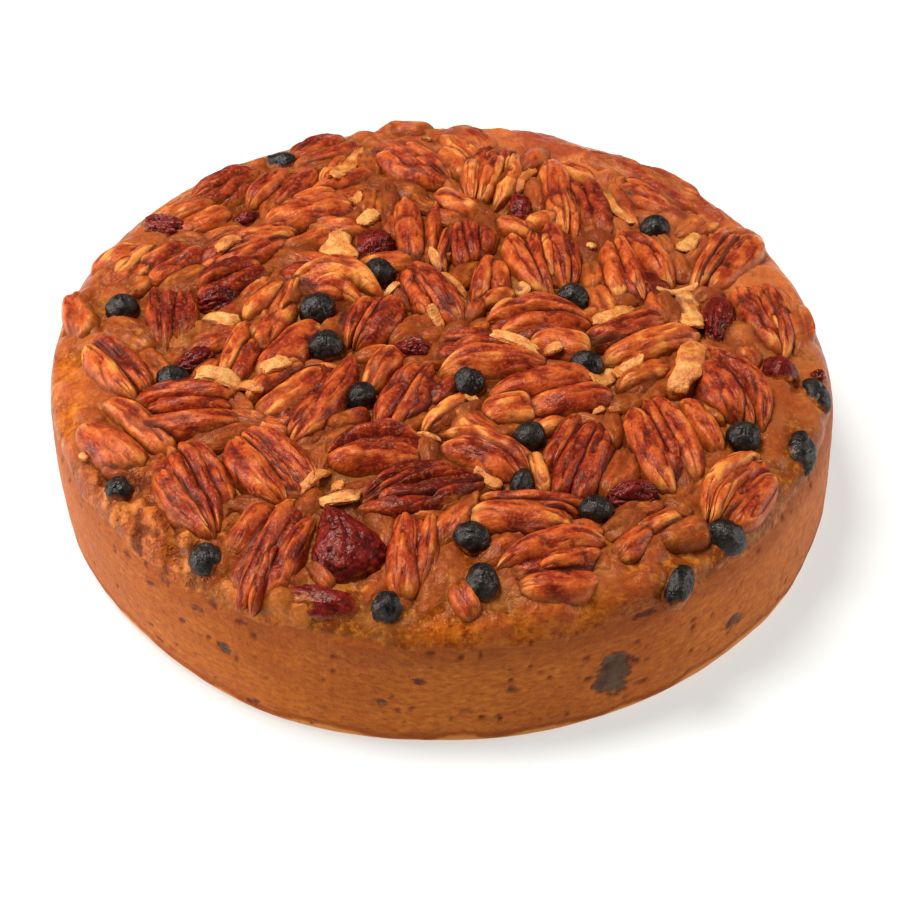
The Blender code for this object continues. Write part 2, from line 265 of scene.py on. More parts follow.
# a few of them lie or stand in their own way
flat, wide = berries["berry_07"], fruits["red_fruit_05"]
flat.length, flat.heading, flat.sunk = 1.45 * flat.length, 175, 1.4
wide.length, wide.width, wide.sunk = 1.2 * wide.length, 1.15 * wide.width, -0.5
fruits["red_fruit_07"].sunk = -0.8
berries["berry_14"].x += 1.5
berries["berry_14"].y += 1.5
berries["berry_15"].x += 1.5
pointed = {"x": -23, "y": -72.5, "length": 24, "width": 15, "heading": 112, "taper": 0.8}
slender = {"x": 70, "y": 6.5, "length": 19.5, "width": 9, "heading": 81, "taper": -0.2}
fruits["red_fruit_08"].__dict__.update(pointed)
fruits["red_fruit_06"].__dict__.update(slender)
for number, topping in enumerate([*berries.values(), *fruits.values()], 40):
    topping.seed = number
print(len(pecans), "pecan halves,", len(berries), "berries,", len(fruits), "red fruits measured")

# %% [markdown]
# The smaller nuts and single fingers of nut fill the gaps between the large ones, so closely
# that hardly any plain batter is left. Many are covered by the batter. Their last value says how
# thick the batter lies on them, in mm: more than 1 hides all but the shape.

# %% The smaller toppings
SMALL_PECANS = [  # x, y, length, width, heading, how wide each lobe is, tone, pale end, film
    (-32, 81, 19, 11, 30, "12", 0.35, 0, 0.5), (-64.5, 50.5, 16.5, 12, 30, "11", 0.6, 0, 0.5),
    (-69.5, 31, 16, 9.5, 40, "11", 0.45, 0, 0), (-53.5, 22.5, 20.5, 9.5, 31, "11", 0.15, 0, 0),
    (-38, -21, 21.5, 12, 48, "21", 0.65, 0, 1.2), (-62, -27.5, 24.5, 16, 4, "212", 0.4, 0, 0),
    (-77.5, -35.5, 26.5, 15, 132, "23", 0.65, 0, 0.6), (22, -62, 25, 5, 176, "11", 0.45, 0, 0),
]


def split(topping, widths):
    """The lobes of a nut, side by side, with their widths in the ratio of the digits."""
    edges = np.cumsum([0, *map(int, widths)]) / sum(map(int, widths)) - 0.5
    turn = radians(topping.heading)
    for n, (start, end) in enumerate(zip(edges, edges[1:])):
        aside = (start + end) / 2 * topping.width
        lobe = Topping(topping.x - sin(turn) * aside, topping.y + cos(turn) * aside,
                       topping.length * (1 - 0.16 * (n % 2)), (end - start) * topping.width + 0.6,
                       topping.heading)
        lobe.__dict__.update(tone=topping.tone, pale=topping.pale, film=topping.film,
                             bow=0.35 * aside, height=topping.height)
        yield lobe


fingers = []
for *oval, widths, tone, pale, cover in SMALL_PECANS:
    nut = Topping(*oval, tone=tone, pale=pale, film=cover, height=4.2 + 0.1 * oval[3])
    fingers += split(nut, widths)
FINGERS = [  # x, y, length, width, heading, tone, pale end, film
    (-8.5, 91, 13, 7, 172, 0.6, 0, 0.8), (-91.5, 13, 19, 7, 105, 0.6, 0, 0.6),
    (-14.5, -14, 15, 6, 65, 0.65, -1, 0), (61.5, -14, 18.5, 7.5, 62, 0.7, 0, 1),
    (-29, 70.5, 14.5, 2.5, 69, 0.75, 0, 0), (-25.5, 63.5, 18, 5, 29, 0.6, -1, 0),
    (-34.5, 56, 14.5, 4, 24, 0.75, -1, 0), (-34.5, 49.5, 23, 11.5, 22, 0.6, 0, 0.8),
    (-19, 54.5, 10, 4.5, 83, 0.8, 0, 1), (-50, 40, 24, 4, 20, 0.5, 0, 0.3),
    (-34.5, 37, 15, 6, 33, 0.75, 0, 1), (-57, 42, 11.5, 4, 36, 0.6, 0, 1),
    (-78, 22, 8, 4.5, 57, 0.9, 0, 1), (-44.5, 13.5, 16, 5, 57, 0.75, 0, 0),
    (-39, 14.5, 18.5, 4.5, 68, 0.6, 0, 0.8), (-51.5, -5.5, 21, 4, 76, 0.7, 0, 0),
    (-48.5, -10, 14.5, 4.5, 77, 0.4, 0, 0.3), (-43.5, 1, 13.5, 3.5, 73, 0.5, 0, 0.2),
    (-40.5, 4.5, 16, 4, 70, 0.65, 0, 0.5), (-37.5, -6.5, 24.5, 9, 60, 0.5, 2, 0),
    (-77, -46, 8.5, 2.5, 161, 0.9, 0, 1),
    (-45.5, -68, 15.5, 5.5, 62, 0.6, 0, 0.4), (-28, -82.5, 8, 2.5, 129, 0.6, 0, 1),
    (5.5, -90, 8.5, 5, 109, 0.5, 0, 0.6), (-22.5, -32.5, 10, 4.5, 30, 0.3, 0, 0.6),
    (1, -30, 15.5, 4, 51, 0.85, 0, 0), (3.5, -31, 16.5, 2, 40, 0.75, 0, 0),
    (0.5, -22.5, 11.5, 4, 50, 0.15, 0, 0.4), (6.5, -3, 13, 4, 7, 0.4, 0, 0),
    (30, -5, 14, 10, 168, 0.75, 0, 0.6), (-8, 42, 26, 6, 96, 0.55, 0, 0),
    (-2, 41.5, 25, 2.5, 85, 0.65, 0, 0.3), (5, 52.5, 15, 6.5, 144, 0.75, 0, 0.5),
    (3, 36, 18, 3, 69, 0.75, 0, 0.2), (19.5, 42.5, 10.5, 5.5, 151, 0.7, 0, 0.8),
    (37, 55, 21.5, 3, 104, 0.3, 0, 0), (41.5, 53, 24.5, 4.5, 98, 0.15, 0, 0.2),
    (35, 48.5, 22.5, 2, 98, 0.2, 0, 0), (36, 69, 10.5, 4.5, 145, 0.8, -1, 0.3),
    (5, 80.5, 15, 5.5, 132, 0.8, 0, 0.4), (8.5, 85, 16.5, 9, 134, 0.45, 0, 1),
    (27.5, 46, 9, 4.5, 12, 0.9, 0, 0.6), (48.5, 54.5, 20, 3, 107, 0.55, 0, 0.8),
    (70, 46, 7, 2, 45, 0.8, 0, 0.5), (46.5, 1, 22, 7, 31, 0.4, 0, 0),
    (41, -2.5, 8.5, 7.5, 1, 0.5, 0, 0.3), (53, -4.5, 25.5, 8, 26, 0.7, 0, 0),
    (11, 21.5, 18.5, 4, 79, 0.55, 0, 0), (15, 21.5, 13, 4.5, 95, 0.65, 0, 0),
    (14.5, 14, 9, 3.5, 32, 0.7, 0, 0.4), (8.5, 8.5, 9, 3, 70, 0.4, 0, 0.5),
    (25.5, -19.5, 26.5, 8, 15, 0.55, 0, 0), (31.5, -26.5, 21.5, 7.5, 16, 0.45, 0, 0),
    (16.5, -29.5, 11.5, 9.5, 15, 0.8, 0, 0), (50, -16.5, 14, 6.5, 34, 0.75, 0, 0.8),
    (63.5, -33.5, 18.5, 6, 113, 0.65, 0, 0.8), (19, -66.5, 23.5, 9.5, 175, 0.65, 1, 0),
    (23.5, -51, 12, 3, 104, 0.95, 0, 0), (45, -72.5, 12, 5, 52, 0.6, 2, 0),
    (51.5, -66, 11, 4.5, 30, 0.9, 2, 0), (56, -61, 6.5, 3, 149, 0.7, 0, 0.8),
    (49.5, -61.5, 6, 3, 16, 0.75, 0, 0.8), (57, -68.5, 12, 6.5, 26, 0.5, 0, 2),
    (64.5, -28, 10.5, 3, 140, 0.85, 0, 1), (56, 58, 20, 7.5, 137, 0.5, 0, 1),
]
for *oval, tone, pale, cover in FINGERS:
    height = 2.8 + 0.34 * min(oval[3], 8)
    fingers.append(Topping(*oval, tone=tone, pale=pale, film=cover, height=height))
for topping in fingers:
    topping.sunk = 0.4 * topping.film
SMALL_BERRIES = [  # x, y, length, width, heading, sunk
    (87.5, -36.5, 13.5, 7.5, 87, 1), (93, -17, 11, 7, 101, 0.2),
    (-12.5, -91, 8.5, 8.5, 178, 0.7), (9.5, -85.5, 8.5, 10, 1, 0), (19.5, -54, 7, 9, 1, 2),
    (67, -66.5, 10, 9, 30, 0.8), (55, -81, 12, 6.5, 60, 0.7),
]
small_berries = [Topping(*oval, sunk=sunk) for *oval, sunk in SMALL_BERRIES]
SMALL_FRUITS = [  # x, y, length, width, heading, sunk
    (21, 51.5, 6.5, 10.5, 5, 0), (-51, 48.5, 10, 6, 23, 0.5), (84.5, -11, 9, 11, 24, 0.6),
    (94, -10, 4, 3.5, 124, 0.5), (-29, -88.5, 24, 8.5, 168, 1.1), (-17, 36.5, 12, 10, 44, 0.2),
]
small_fruits = [Topping(*oval, sunk=sunk, film=0.3 * sunk) for *oval, sunk in SMALL_FRUITS]
PALE_PIECES = [  # x, y, length, width, heading, tone from 0, orange, to 1, cream
    (-25, 70.5, 22, 5, 71, 0.6), (-22.5, 54, 3.5, 4, 31, 0.7), (-18.5, 45.5, 8.5, 4.5, 64, 1),
    (-26, 34.5, 12.5, 8.5, 105, 0.95), (-23, 28, 7, 4.5, 150, 0.8),
    (-54.5, 33.5, 8, 3.5, 46, 0.6), (-55.5, 5.5, 10, 5.5, 168, 1),
    (-54.5, -19.5, 11, 5.5, 170, 0.95), (-47, -22, 7, 3.5, 150, 0.5),
    (-40.5, -15.5, 7, 4.5, 23, 1), (-12.5, 17, 5.5, 2, 45, 1), (-1, 28.5, 8.5, 2.5, 107, 0.8),
    (3.5, 20, 12.5, 2, 124, 0.55), (-3.5, 84, 2.5, 3, 41, 1), (23, 64, 13, 3, 63, 0.6),
    (46.5, 53, 19.5, 3, 112, 0.7), (39, 33, 2.5, 2.5, 47, 0.9), (64.5, 38, 10.5, 5, 62, 1),
    (43.5, 7, 13.5, 4, 37, 0.85), (60.5, 17, 11, 2.5, 23, 0.95), (63, 8.5, 17.5, 6.5, 89, 0.95),
    (40.5, -17.5, 8, 5, 29, 0.95), (46.5, -14, 10.5, 4.5, 47, 0.9),
    (20.5, 17, 4.5, 4, 55, 0.95), (17, 10, 12, 3, 41, 0.6), (18.5, -7, 13.5, 3.5, 153, 0.95),
    (7.5, -25.5, 3, 2.5, 20, 1), (-3.5, -39.5, 8.5, 1.5, 141, 0.8), (-1, 5, 5, 3, 123, 0.9),
    (38.5, -30, 3, 2, 21, 0.4), (42.5, -29.5, 3, 2, 19, 0.5),
    (11.5, -53, 7.5, 4, 134, 0.6), (-29.5, -53, 10, 2.5, 52, 0.7), (-32.5, -56, 7, 2.5, 35, 0.7),
    (-35.5, -58.5, 10, 2.5, 36, 0.6), (-24, -60.5, 10.5, 4, 179, 0.8), (-24.5, -56, 3.5, 3, 179, 0.8),
    (-85.5, -40.5, 3, 1.5, 128, 1),
    (28, -9, 4.5, 3, 10, 0.7), (62, -12, 12, 6.5, 72, 0.5), (60, -18.5, 10, 6.5, 62, 0.8),
]
pale_pieces = [
    Topping(*oval, tone=tone, height=1 + 0.24 * oval[3]) for *oval, tone in PALE_PIECES
]

# nuts near the rim lie lower, most of all at the back
for lobe in [*fingers, *[lobe for nut in pecans.values() for lobe in (nut, *nut.lobes)]]:
    rim_share = step(np.hypot(lobe.x, lobe.y), 58, 88)
    lobe.height *= 1 - rim_share * (0.08 + 0.2 * step(lobe.y, 0, 40))
everything = [*fingers, *small_berries, *small_fruits, *pale_pieces]
for number, topping in enumerate(everything, 100):
    topping.seed = number
large_lobes = [lobe for nut in pecans.values() for lobe in nut.lobes]
everything += [*large_lobes, *berries.values(), *fruits.values()]
print(len(everything), "lobes, berries, fruits and chips in all")

# %% [markdown]
# Gaps are still left. They are closed the way a baker would, by pressing one more piece of nut
# into the widest gap, then into the next widest, until no gap is wide enough. A grid of points
# keeps its distance from the nearest topping; the piece that goes in is turned to fit best.
# Batter covers the thin ones and those at the rim, so only soft lumps show of them.

# %% Fill the gaps
GAP = 1.6                         # mm from the nearest topping that still counts as a gap
FILLED_RADIUS = 90                # beyond it the rim keeps its plain batter
BARE_RADIUS = 80                  # beyond it the batter covers whatever fills a gap


def outside(topping, x, y):
    """Distance in mm outside a topping's oval outline, below 0 inside it."""
    along, across = local(topping, x, y)
    along, across = 2 * along / topping.length, 2 * across / topping.width
    reach = np.hypot(along, across) + 1e-6
    steep = np.hypot(2 * along / topping.length, 2 * across / topping.width) / reach
    return (reach - 1) / steep


def fill_gaps(toppings):
    """Pieces of nut that close the gaps between the toppings, the widest gap first."""
    dice = np.random.default_rng(11)
    line = np.arange(-95, 95.1, 1.0)
    x, y = np.meshgrid(line, line)
    room = np.min([outside(t, x, y) for t in toppings], 0)
    room[np.hypot(x, y) > FILLED_RADIUS] = -1
    while room.max() > GAP:
        row, column = np.unravel_index(room.argmax(), room.shape)
        width = 1.75 * room[row, column] + 0.6
        heading = dice.uniform(0, 180)
        best = -9
        for way in heading + np.arange(0, 180, 15):
            turn = radians(way)
            ends = [(x[row, column] + side * cos(turn) * 1.1 * width,
                     y[row, column] + side * sin(turn) * 1.1 * width) for side in (-1, 1)]
            free = sum(min(outside(t, *np.array(end)) for t in toppings) for end in ends)
            if free > best:
                best, heading = free, way
        new = Topping(x[row, column], y[row, column], width * dice.uniform(1.7, 3), width,
                      heading % 180, height=dice.uniform(1.1, 2) + 0.26 * min(width, 8),
                      tone=dice.uniform(0.4, 0.8), film=dice.uniform(0.5, 1.8))
        room = np.minimum(room, outside(new, x, y))
        yield new


pressed, hidden = [], []
for number, topping in enumerate(fill_gaps(everything), 400):
    topping.seed = number
    if topping.width > 3 and np.hypot(topping.x, topping.y) < BARE_RADIUS:
        pressed.append(topping)
    else:
        topping.height = 1 + 0.1 * topping.width
        hidden.append(topping)
# one long piece more, at the back right
pressed.append(Topping(50, 70.5, 27, 7, 150, height=4.4, tone=0.35, film=0.8, seed=399))
everything += pressed
print(len(pressed), "pieces fill the gaps;", len(hidden), "more are covered")

# %% [markdown]
# ## The batter
#
# The batter is a height over each point of the plan: the crown of the cake, soft unevenness,
# the lumps of covered nuts, and a rim of batter that climbs a little up each topping. This last
# part is what makes a nut look baked in and not laid on. Each height is a formula of x and y, so
# the same formula later tells the nuts how much of them stands clear.

# %% The batter's height
COVERED = [  # x, y, length, width, heading, height of nuts that the batter hides
    (-67, -65.5, 14, 6, 102, 2.8), (64, 63, 34, 7, 140, 2.6),
    (57, 71, 30, 7, 138, 2), (40, 79, 26, 8, 152, 2.4), (30, 84, 18, 6, 160, 2.2),
    (80, 50, 20, 8, 125, 1.4), (91, 26, 20, 7, 112, 1.2), (-77, 50, 18, 8, 40, 0.8),
    (-88, 26, 16, 8, 60, 2.2), (15, 91, 16, 6, 175, 2.2),
    (0, 90, 20, 8, -5, 1.6), (-14.5, 92, 5, 6, 80, 2.6), (22, 85, 24, 9, -10, 2),
    (70, 53, 14, 10, 40, 1.3), (-88, -16, 12, 9, 100, 2), (-90, 12, 18, 8, 110, 1.8),
    (-66, -60, 12, 9, 0, 2), (1, -81, 15, 7, 80, 2.5), (43, -84, 18, 9, 20, 2.2),
    (83, -25, 12, 7, 80, 2.2), (40, -77, 8, 6, 30, 2), (-57, -37, 10, 7, 40, 2.5),
    (-25, -34, 9, 6, 20, 2), (-72, -62, 9, 7, 0, 2), (-44, -86, 12, 6, 60, 2),
    (77, -2, 9, 7, 20, 2.5), (50, -19, 11, 8, 60, 2.5), (86, 26, 16, 7, 100, 1.2),
    (-84, 22, 9, 6, 60, 2), (-36, 33, 11, 6, 50, 2.5),
    (60, 47, 12, 7, 40, 2.5), (83, -63, 10, 8, 0, 2), (24, -92, 14, 7, 0, 1.8),
    (-73, -48, 9, 7, 0, 2), (-22, -60, 7, 5, 0, 2), (-65, 20, 8, 5, 0, 2),
    (-90, -36, 9, 7, 120, 1.8), (-85, -46, 9, 6, 130, 1.5), (-50, -76, 8, 6, 60, 1.6),
    (-51, 78, 8, 6, 0, 1.5), (12, -96, 9, 5, 0, 1.2), (-9, -88, 7, 5, 90, 1.6),
    (-13.5, 56.5, 16.5, 6, 96, 2.8), (-41, 29, 12.5, 5.5, 36, 2.7),
    (-58.5, 2.5, 5, 6, 30, 2.8), (-70.5, -52, 9, 4, 95, 1.9), (-62, -64.5, 10, 2.5, 111, 1.7),
    (-34.5, -84.5, 5, 3.5, 54, 1.9),
    (-0.5, -83.5, 18.5, 6.5, 67, 2.2), (3.5, -62, 9, 4, 33, 2.5), (-2, -42.5, 7.5, 4, 92, 2.5),
    (-29.5, -39, 6, 4, 64, 2.5), (5, -31, 13.5, 5, 40, 2.6), (4.5, 2, 6.5, 6, 7, 2.8),
    (12, 46, 15.5, 6, 104, 2.8), (38, 33.5, 11.5, 6.5, 119, 2), (42, 40.5, 8.5, 7.5, 126, 1.6),
    (58.5, 10, 14.5, 5, 101, 2), (79.5, -4.5, 3.5, 4.5, 31, 2.6),
    (92.5, 1, 8, 8, 30, 2.4), (84, -17, 6, 7, 140, 2.2), (43, -66, 11, 5, 37, 2.6),
    (41, -82, 4.5, 5.5, 5, 2.1), (41.5, -86, 10, 4, 14, 1.9), (49, -80, 5.5, 6, 21, 2.2),
    (81, -41.5, 4.5, 5.5, 169, 2.1), (91, 13, 19.5, 8.5, 107, 1.6),
    (-94, 3, 6, 8, 57, 2.4), (-89, -11, 8, 3, 87, 1.8), (-84.5, 22.5, 6.5, 6.5, 14, 2.2),
    (-79, 3, 9.5, 3.5, 163, 2.5),
]
GOLDEN = [  # the same for those that are baked golden
    (-37.5, -89.5, 7, 7, 0, 4), (-33, -92, 7, 6, 20, 2.6), (-73, 1, 8, 5, 163, 2.2),
    (-66, -2, 12, 6, 160, 2), (-63, 1.5, 10.5, 4, 57, 2.6), (76, 0.5, 8, 8, 24, 3.4),
    (-61, -67, 12, 4, 110, 2.2), (-78, -58, 12, 6, 120, 2), (-48, -84, 8, 4, 140, 1.4),
]
golden = [Topping(*oval, height=height) for *oval, height in GOLDEN]
covered = hidden + golden + [Topping(*oval, height=height) for *oval, height in COVERED]


def crown(radius):
    """Height of the smooth top at a distance from the axis."""
    share = np.clip(radius / RIM_RADIUS, 0, 1)
    return RIM_HEIGHT + CROWN_RISE * (1 - share ** CROWN_OUT) ** (1 / CROWN_UP)


def close(topping, x, y, margin=8):
    """Whether any of the points may lie within a margin of a topping."""
    reach = topping.length / 2 + margin
    return (x.min() < topping.x + reach and x.max() > topping.x - reach
            and y.min() < topping.y + reach and y.max() > topping.y - reach)


def crumbly(x, y):
    """1 on the stretch of rim at the front left where the batter is coarse, else 0."""
    away = np.hypot(x + 66, y + 60) - 6
    return step(away, 26, 10) * step(np.hypot(x, y), 70, 84)


def ground(x, y):
    """The batter before it meets the bare toppings: crown, unevenness and covered nuts."""
    radius = np.hypot(x, y)
    inner = step(RIM_RADIUS - radius, -3, 6)
    height = crown(radius) + inner * (0.5 * noise(x, y, 0, 12) + 0.42 * rough(x, y, 5, 4) - 0.25)
    height += inner * (0.3 * step(radius, 70, 84) + 0.4 * crumbly(x, y)) * noise(x, y, 3, 2.2)
    lumps = np.zeros_like(x)
    for nut in (c for c in covered if close(c, x, y)):
        edge = 1 + outside(nut, x, y) / (0.5 * nut.width)
        lumps = np.maximum(lumps, nut.height * np.clip(1 - (edge / 1.4) ** 2, 0, 1) ** 1.2)
    return height + lumps


CLIMB, CLIMB_REACH = 1.1, 1.3     # mm that the batter climbs a topping, and how far out it starts


def climb(x, y, toppings=everything):
    """How far the batter is drawn up by the toppings near a point."""
    total = np.zeros_like(x)
    for topping in (t for t in toppings if close(t, x, y)):
        near = np.clip(outside(topping, x, y), 0, None)
        total += (CLIMB * np.exp(-near / CLIMB_REACH)) ** 3
    return total ** (1 / 3)


def batter(x, y):
    """Height of the batter over each point of the plan."""
    return ground(x, y) + climb(x, y)


spots = np.array([[0.0, 0.0], [60.0, -60.0], [0.0, 92.0]])
print("batter height at three places:", np.round(batter(*spots.T), 1), "mm")

# %% [markdown]
# The cake's body is one closed skin. It starts as a square grid, which is bent to a disc, so
# that its faces stay even from the middle to the rim; a turned disc would crowd them in the
# middle. The edge of the disc is then extruded down the side, ring by ring, and under the foot.

# %% The cake's skin
GRID = 250
SIDE = [  # radius and height down the side, in mm
    (RIM_RADIUS + 0.55, 31.2), (RIM_RADIUS + 0.85, 30.2), (RIM_RADIUS + 1.05, 29),
]
SIDE += [(CAKE_RADIUS - 0.4 * ((z - 16) / 14) ** 2, z) for z in np.linspace(27.8, 4.2, 21)]
SIDE += [(CAKE_RADIUS - 0.45, 3.0), (CAKE_RADIUS - 0.35, 2.2), (CAKE_RADIUS - 0.5, 1.3)]
SIDE += [(CAKE_RADIUS - 1.0, 0.5), (CAKE_RADIUS - 2.2, 0.0), (80, 0), (25, 0)]


def to_mesh(bm, name):
    """The finished bmesh as a mesh."""
    mesh = bpy.data.meshes.new(name)
    bm.to_mesh(mesh)
    bm.free()
    return mesh


def skin_mesh():
    """The closed skin of the cake, with a flat top that is shaped later."""
    bm = bmesh.new()
    bmesh.ops.create_grid(bm, x_segments=GRID, y_segments=GRID, size=1)
    for vertex in bm.verts:
        x, y, _ = vertex.co
        vertex.co.x = x * (1 - y * y / 2) ** 0.5 * RIM_RADIUS
        vertex.co.y = y * (1 - x * x / 2) ** 0.5 * RIM_RADIUS
    edge = [e for e in bm.edges if e.is_boundary]
    for radius, height in SIDE:
        new = bmesh.ops.extrude_edge_only(bm, edges=edge)["geom"]
        edge = [e for e in new if isinstance(e, bmesh.types.BMEdge)]
        for vertex in (v for v in new if isinstance(v, bmesh.types.BMVert)):
            out = Vector(vertex.co[:2]).normalized() * radius
            vertex.co = (out.x, out.y, height)
    ring = list({vertex for e in edge for vertex in e.verts})
    bmesh.ops.pointmerge(bm, verts=ring, merge_co=(0, 0, 0))
    bmesh.ops.recalc_face_normals(bm, faces=bm.faces)
    return to_mesh(bm, "cake_skin")


def places(mesh):
    """The mesh's points as an array, one row each."""
    flat = np.empty(len(mesh.vertices) * 3, np.float32)
    mesh.vertices.foreach_get("co", flat)
    return flat.reshape(-1, 3).astype(float)


def place(mesh, points):
    """Move the mesh's points to an array's places, given in mm."""
    mesh.vertices.foreach_set("co", (points * MM).astype(np.float32).ravel())
    mesh.update()


def note(mesh, name, values):
    """Keep a number or a vector for each point of a mesh, for its material to read."""
    kind, key = ("FLOAT", "value") if values.ndim == 1 else ("FLOAT_VECTOR", "vector")
    attribute = mesh.attributes.new(name, kind, "POINT")
    attribute.data.foreach_set(key, values.astype(np.float32).ravel())


def show(name, data, place=(0, 0, 0)):
    """A mesh, lamp or camera put into the scene at a place, in metres."""
    item = bpy.data.objects.new(name, data)
    item.location = place
    bpy.context.scene.collection.objects.link(item)
    return item


def piece(name, mesh, material):
    """A finished piece that rides with the cake."""
    mesh.materials.append(material)
    mesh.shade_smooth()
    item = show(name, mesh)
    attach(item, "root")
    return item


print("the side is made of", len(SIDE), "rings")

# %% [markdown]
# The side of the cake stood against the tin, so it is smooth and matt, with a fine grain, small
# pits and a few dark marks where a berry lies just under the crust. The largest mark is a flat
# dark berry. Each mark is an oval on the unrolled side, kept as a number on the points. The
# cake is not quite round: it is a little flat at the right and at the left, and its foot is
# drawn in at the front left.

# %% Shape the skin
MARKS = [  # degrees round from the front, height, width, tallness in mm, strength
    (24, 15, 10, 14, 1), (-8, 13.5, 3.5, 3, 0.8), (-3, 21.5, 5, 2.5, 0.6), (-31, 18.5, 5, 3.5, 0.8),
    (-62, 28, 2.5, 2, 0.55), (-56, 30, 2.5, 2, 0.6), (-52, 27.5, 2, 3, 0.6),
    (-49, 29, 4, 3, 0.65), (-45, 30.5, 3, 2, 0.6), (-41, 30, 4, 3.5, 0.65),
    (-38, 30.5, 2, 2, 0.5), (-33, 30.5, 4, 3, 0.65), (-38, 20, 3, 2, 0.6),
    (-44, 26, 3.5, 3, 0.6), (-35, 27, 4, 2.5, 0.65), (-28, 29, 4, 2, 0.55), (45, 12, 8, 4.5, 0.75),
    (29, 30.5, 8, 2.5, 0.6), (-6, 11.5, 2.5, 2, 0.6), (-57, 24, 5, 2.5, 0.35),
    (8, 9, 3, 2, 0.3), (100, 19, 8, 9, 0.8), (150, 12, 4, 3, 0.7), (-120, 21, 5, 4, 0.7),
    (-165, 15, 9, 8, 0.9), (76, 24, 4, 3, 0.5), (-86, 11, 4, 4, 0.5), (128, 26, 5, 3, 0.5),
    (190, 24, 4, 3, 0.6), (-27, 3.5, 6, 3, 0.6), (-18, 3, 5, 2.5, 0.6), (-33, 5, 3, 2, 0.5),
]
DRAWN_IN = 2.6                    # mm by which the foot stands back at the front left
FLATTER = 1.8                     # mm by which the cake is less wide at the right, half at the left
WALL_RADIUS = 90                  # the side's points lie beyond it, the bottom's within it


def side_marks(x, y, z, around):
    """How dark each point of the side is marked, from 0 to 1."""
    marks = np.zeros_like(z)
    ragged = 0.28 * rough(x, y, z, 3)
    for angle, height, width, tall, strength in MARKS:
        gap = (around - angle + 180) % 360 - 180
        away = np.hypot(2 * radians(1) * gap * CAKE_RADIUS / width, 2 * (z - height) / tall)
        marks = np.maximum(marks, strength * step(away + ragged, 1.5, 0.5))
    return marks


def swelling(x, y, z, around, pits, marks):
    """How far each point of the side stands out from the round cake, in mm."""
    swell = 0.25 * noise(x, y, z, 18) + 0.1 * noise(x, y, 2.5 * z, 3.2)
    swell = swell - 0.35 * pits - 0.25 * marks
    swell -= DRAWN_IN * step(np.abs(around + 62), 40, 10) * step(z, 34, -4)
    return swell


def flattening(radius, z, around):
    """How much less wide the cake is at the right, and by half at the left, in mm."""
    share = step(np.abs(around - 112), 34, 8)
    share += 0.5 * step(np.abs(around + 90), 40, 10) * step(z, 4, 28)
    return FLATTER * share * step(radius, 78, 98)


def note_top(mesh, x, y, coarse, top):
    """Note how hollow, tight, nutty, golden and coarse each point of the top is."""
    near, tight = np.zeros_like(x), np.zeros_like(x)
    for topping in everything:
        away = np.clip(outside(topping, x, y), 0, None)
        near += np.exp(-away / 3)
        tight += np.exp(-away / 1.1)
    note(mesh, "hollow", step(near, 0.35, 1.3) * top)
    note(mesh, "inner", step(np.hypot(x, y), 90, 62) * top)
    note(mesh, "tight", step(tight, 0.75, 1.9) * top)
    note(mesh, "crumbly", coarse)
    clods = noise(x, y, 5, 4.5)
    for name, nuts, first, last in (("nutty", covered, 0.3, -0.3), ("golden", golden, 0.1, 0.5)):
        inside = np.max([step(-outside(n, x, y), -0.5, 0.25 * n.width) for n in nuts], 0)
        note(mesh, name, np.maximum(inside, 0.6 * coarse * step(clods, first, last)) * top)


def shape_skin(mesh):
    """Give the skin its top and its side, and note what its material needs to know."""
    x, y, z = places(mesh).T
    top = np.arange(len(z)) < (GRID + 1) ** 2      # the grid's points come first
    around = np.degrees(np.arctan2(x, -y))
    marks = side_marks(x, y, z, around) * ~top
    pits = step(noise(x, y, 2.6 * z, 2.3), 0.52, 0.8) * step(noise(x, y, z, 9), -0.3, 0.3)
    pits = pits * ~top * step(z, 3, 5)
    radius = np.hypot(x, y)
    wall = ~top & (radius > WALL_RADIUS)
    swell = swelling(x, y, z, around, pits, marks) * wall - flattening(radius, z, around)
    scale = np.where(radius > 30, (radius + swell) / np.maximum(radius, 1), 1)
    z[top] = batter(x[top], y[top])
    coarse = crumbly(x, y) * top
    # the crumbly batter at the front left is dented; its material darkens the dents as painted shade
    dents = step(noise(x, y, 7, 2.4), -0.15, 0.4) * coarse
    z = z - 0.5 * dents
    place(mesh, np.stack([x * scale, y * scale, z], 1))
    note(mesh, "marks", marks)
    note(mesh, "pits", np.maximum(pits, dents))
    note_top(mesh, x, y, coarse, top)
    return z[top]


print(len(MARKS), "dark marks on the side, the largest", max(row[3] for row in MARKS), "mm tall")

# %% [markdown]
# ## Small helpers for materials
#
# A material here is a few nodes joined by links. To keep that readable, one helper adds a node
# and fills or links its sockets, and a few more mix colours and work with numbers. A finish is
# mostly one colour after another laid over the first, each where some noise runs from one value
# to another, so that has a helper too. Colours are written as the eye knows them, 0 to 255, and
# turned to the linear values that light needs.

# %% Node helpers
def colour(red, green, blue):
    """A colour from 0 to 255 as the light it stands for."""
    return (*[((c / 255 + 0.055) / 1.055) ** 2.4 for c in (red, green, blue)], 1)


def add(tree, kind, sockets, **settings):
    """A new node with its settings and its input sockets filled or linked."""
    node = tree.nodes.new("ShaderNode" + kind)
    for key, value in settings.items():
        setattr(node, key, value)
    for key, value in sockets.items():
        if isinstance(value, bpy.types.NodeSocket):
            tree.links.new(value, node.inputs[key])
        else:
            node.inputs[key].default_value = value
    return node


def blend(tree, share, first, second):
    """Two colours mixed by a share, as a socket."""
    return add(tree, "Mix", {0: share, 6: first, 7: second}, data_type="RGBA").outputs[2]


def mix(tree, share, first, second):
    """Two numbers mixed by a share, as a socket."""
    return add(tree, "Mix", {0: share, 2: first, 3: second}).outputs[0]


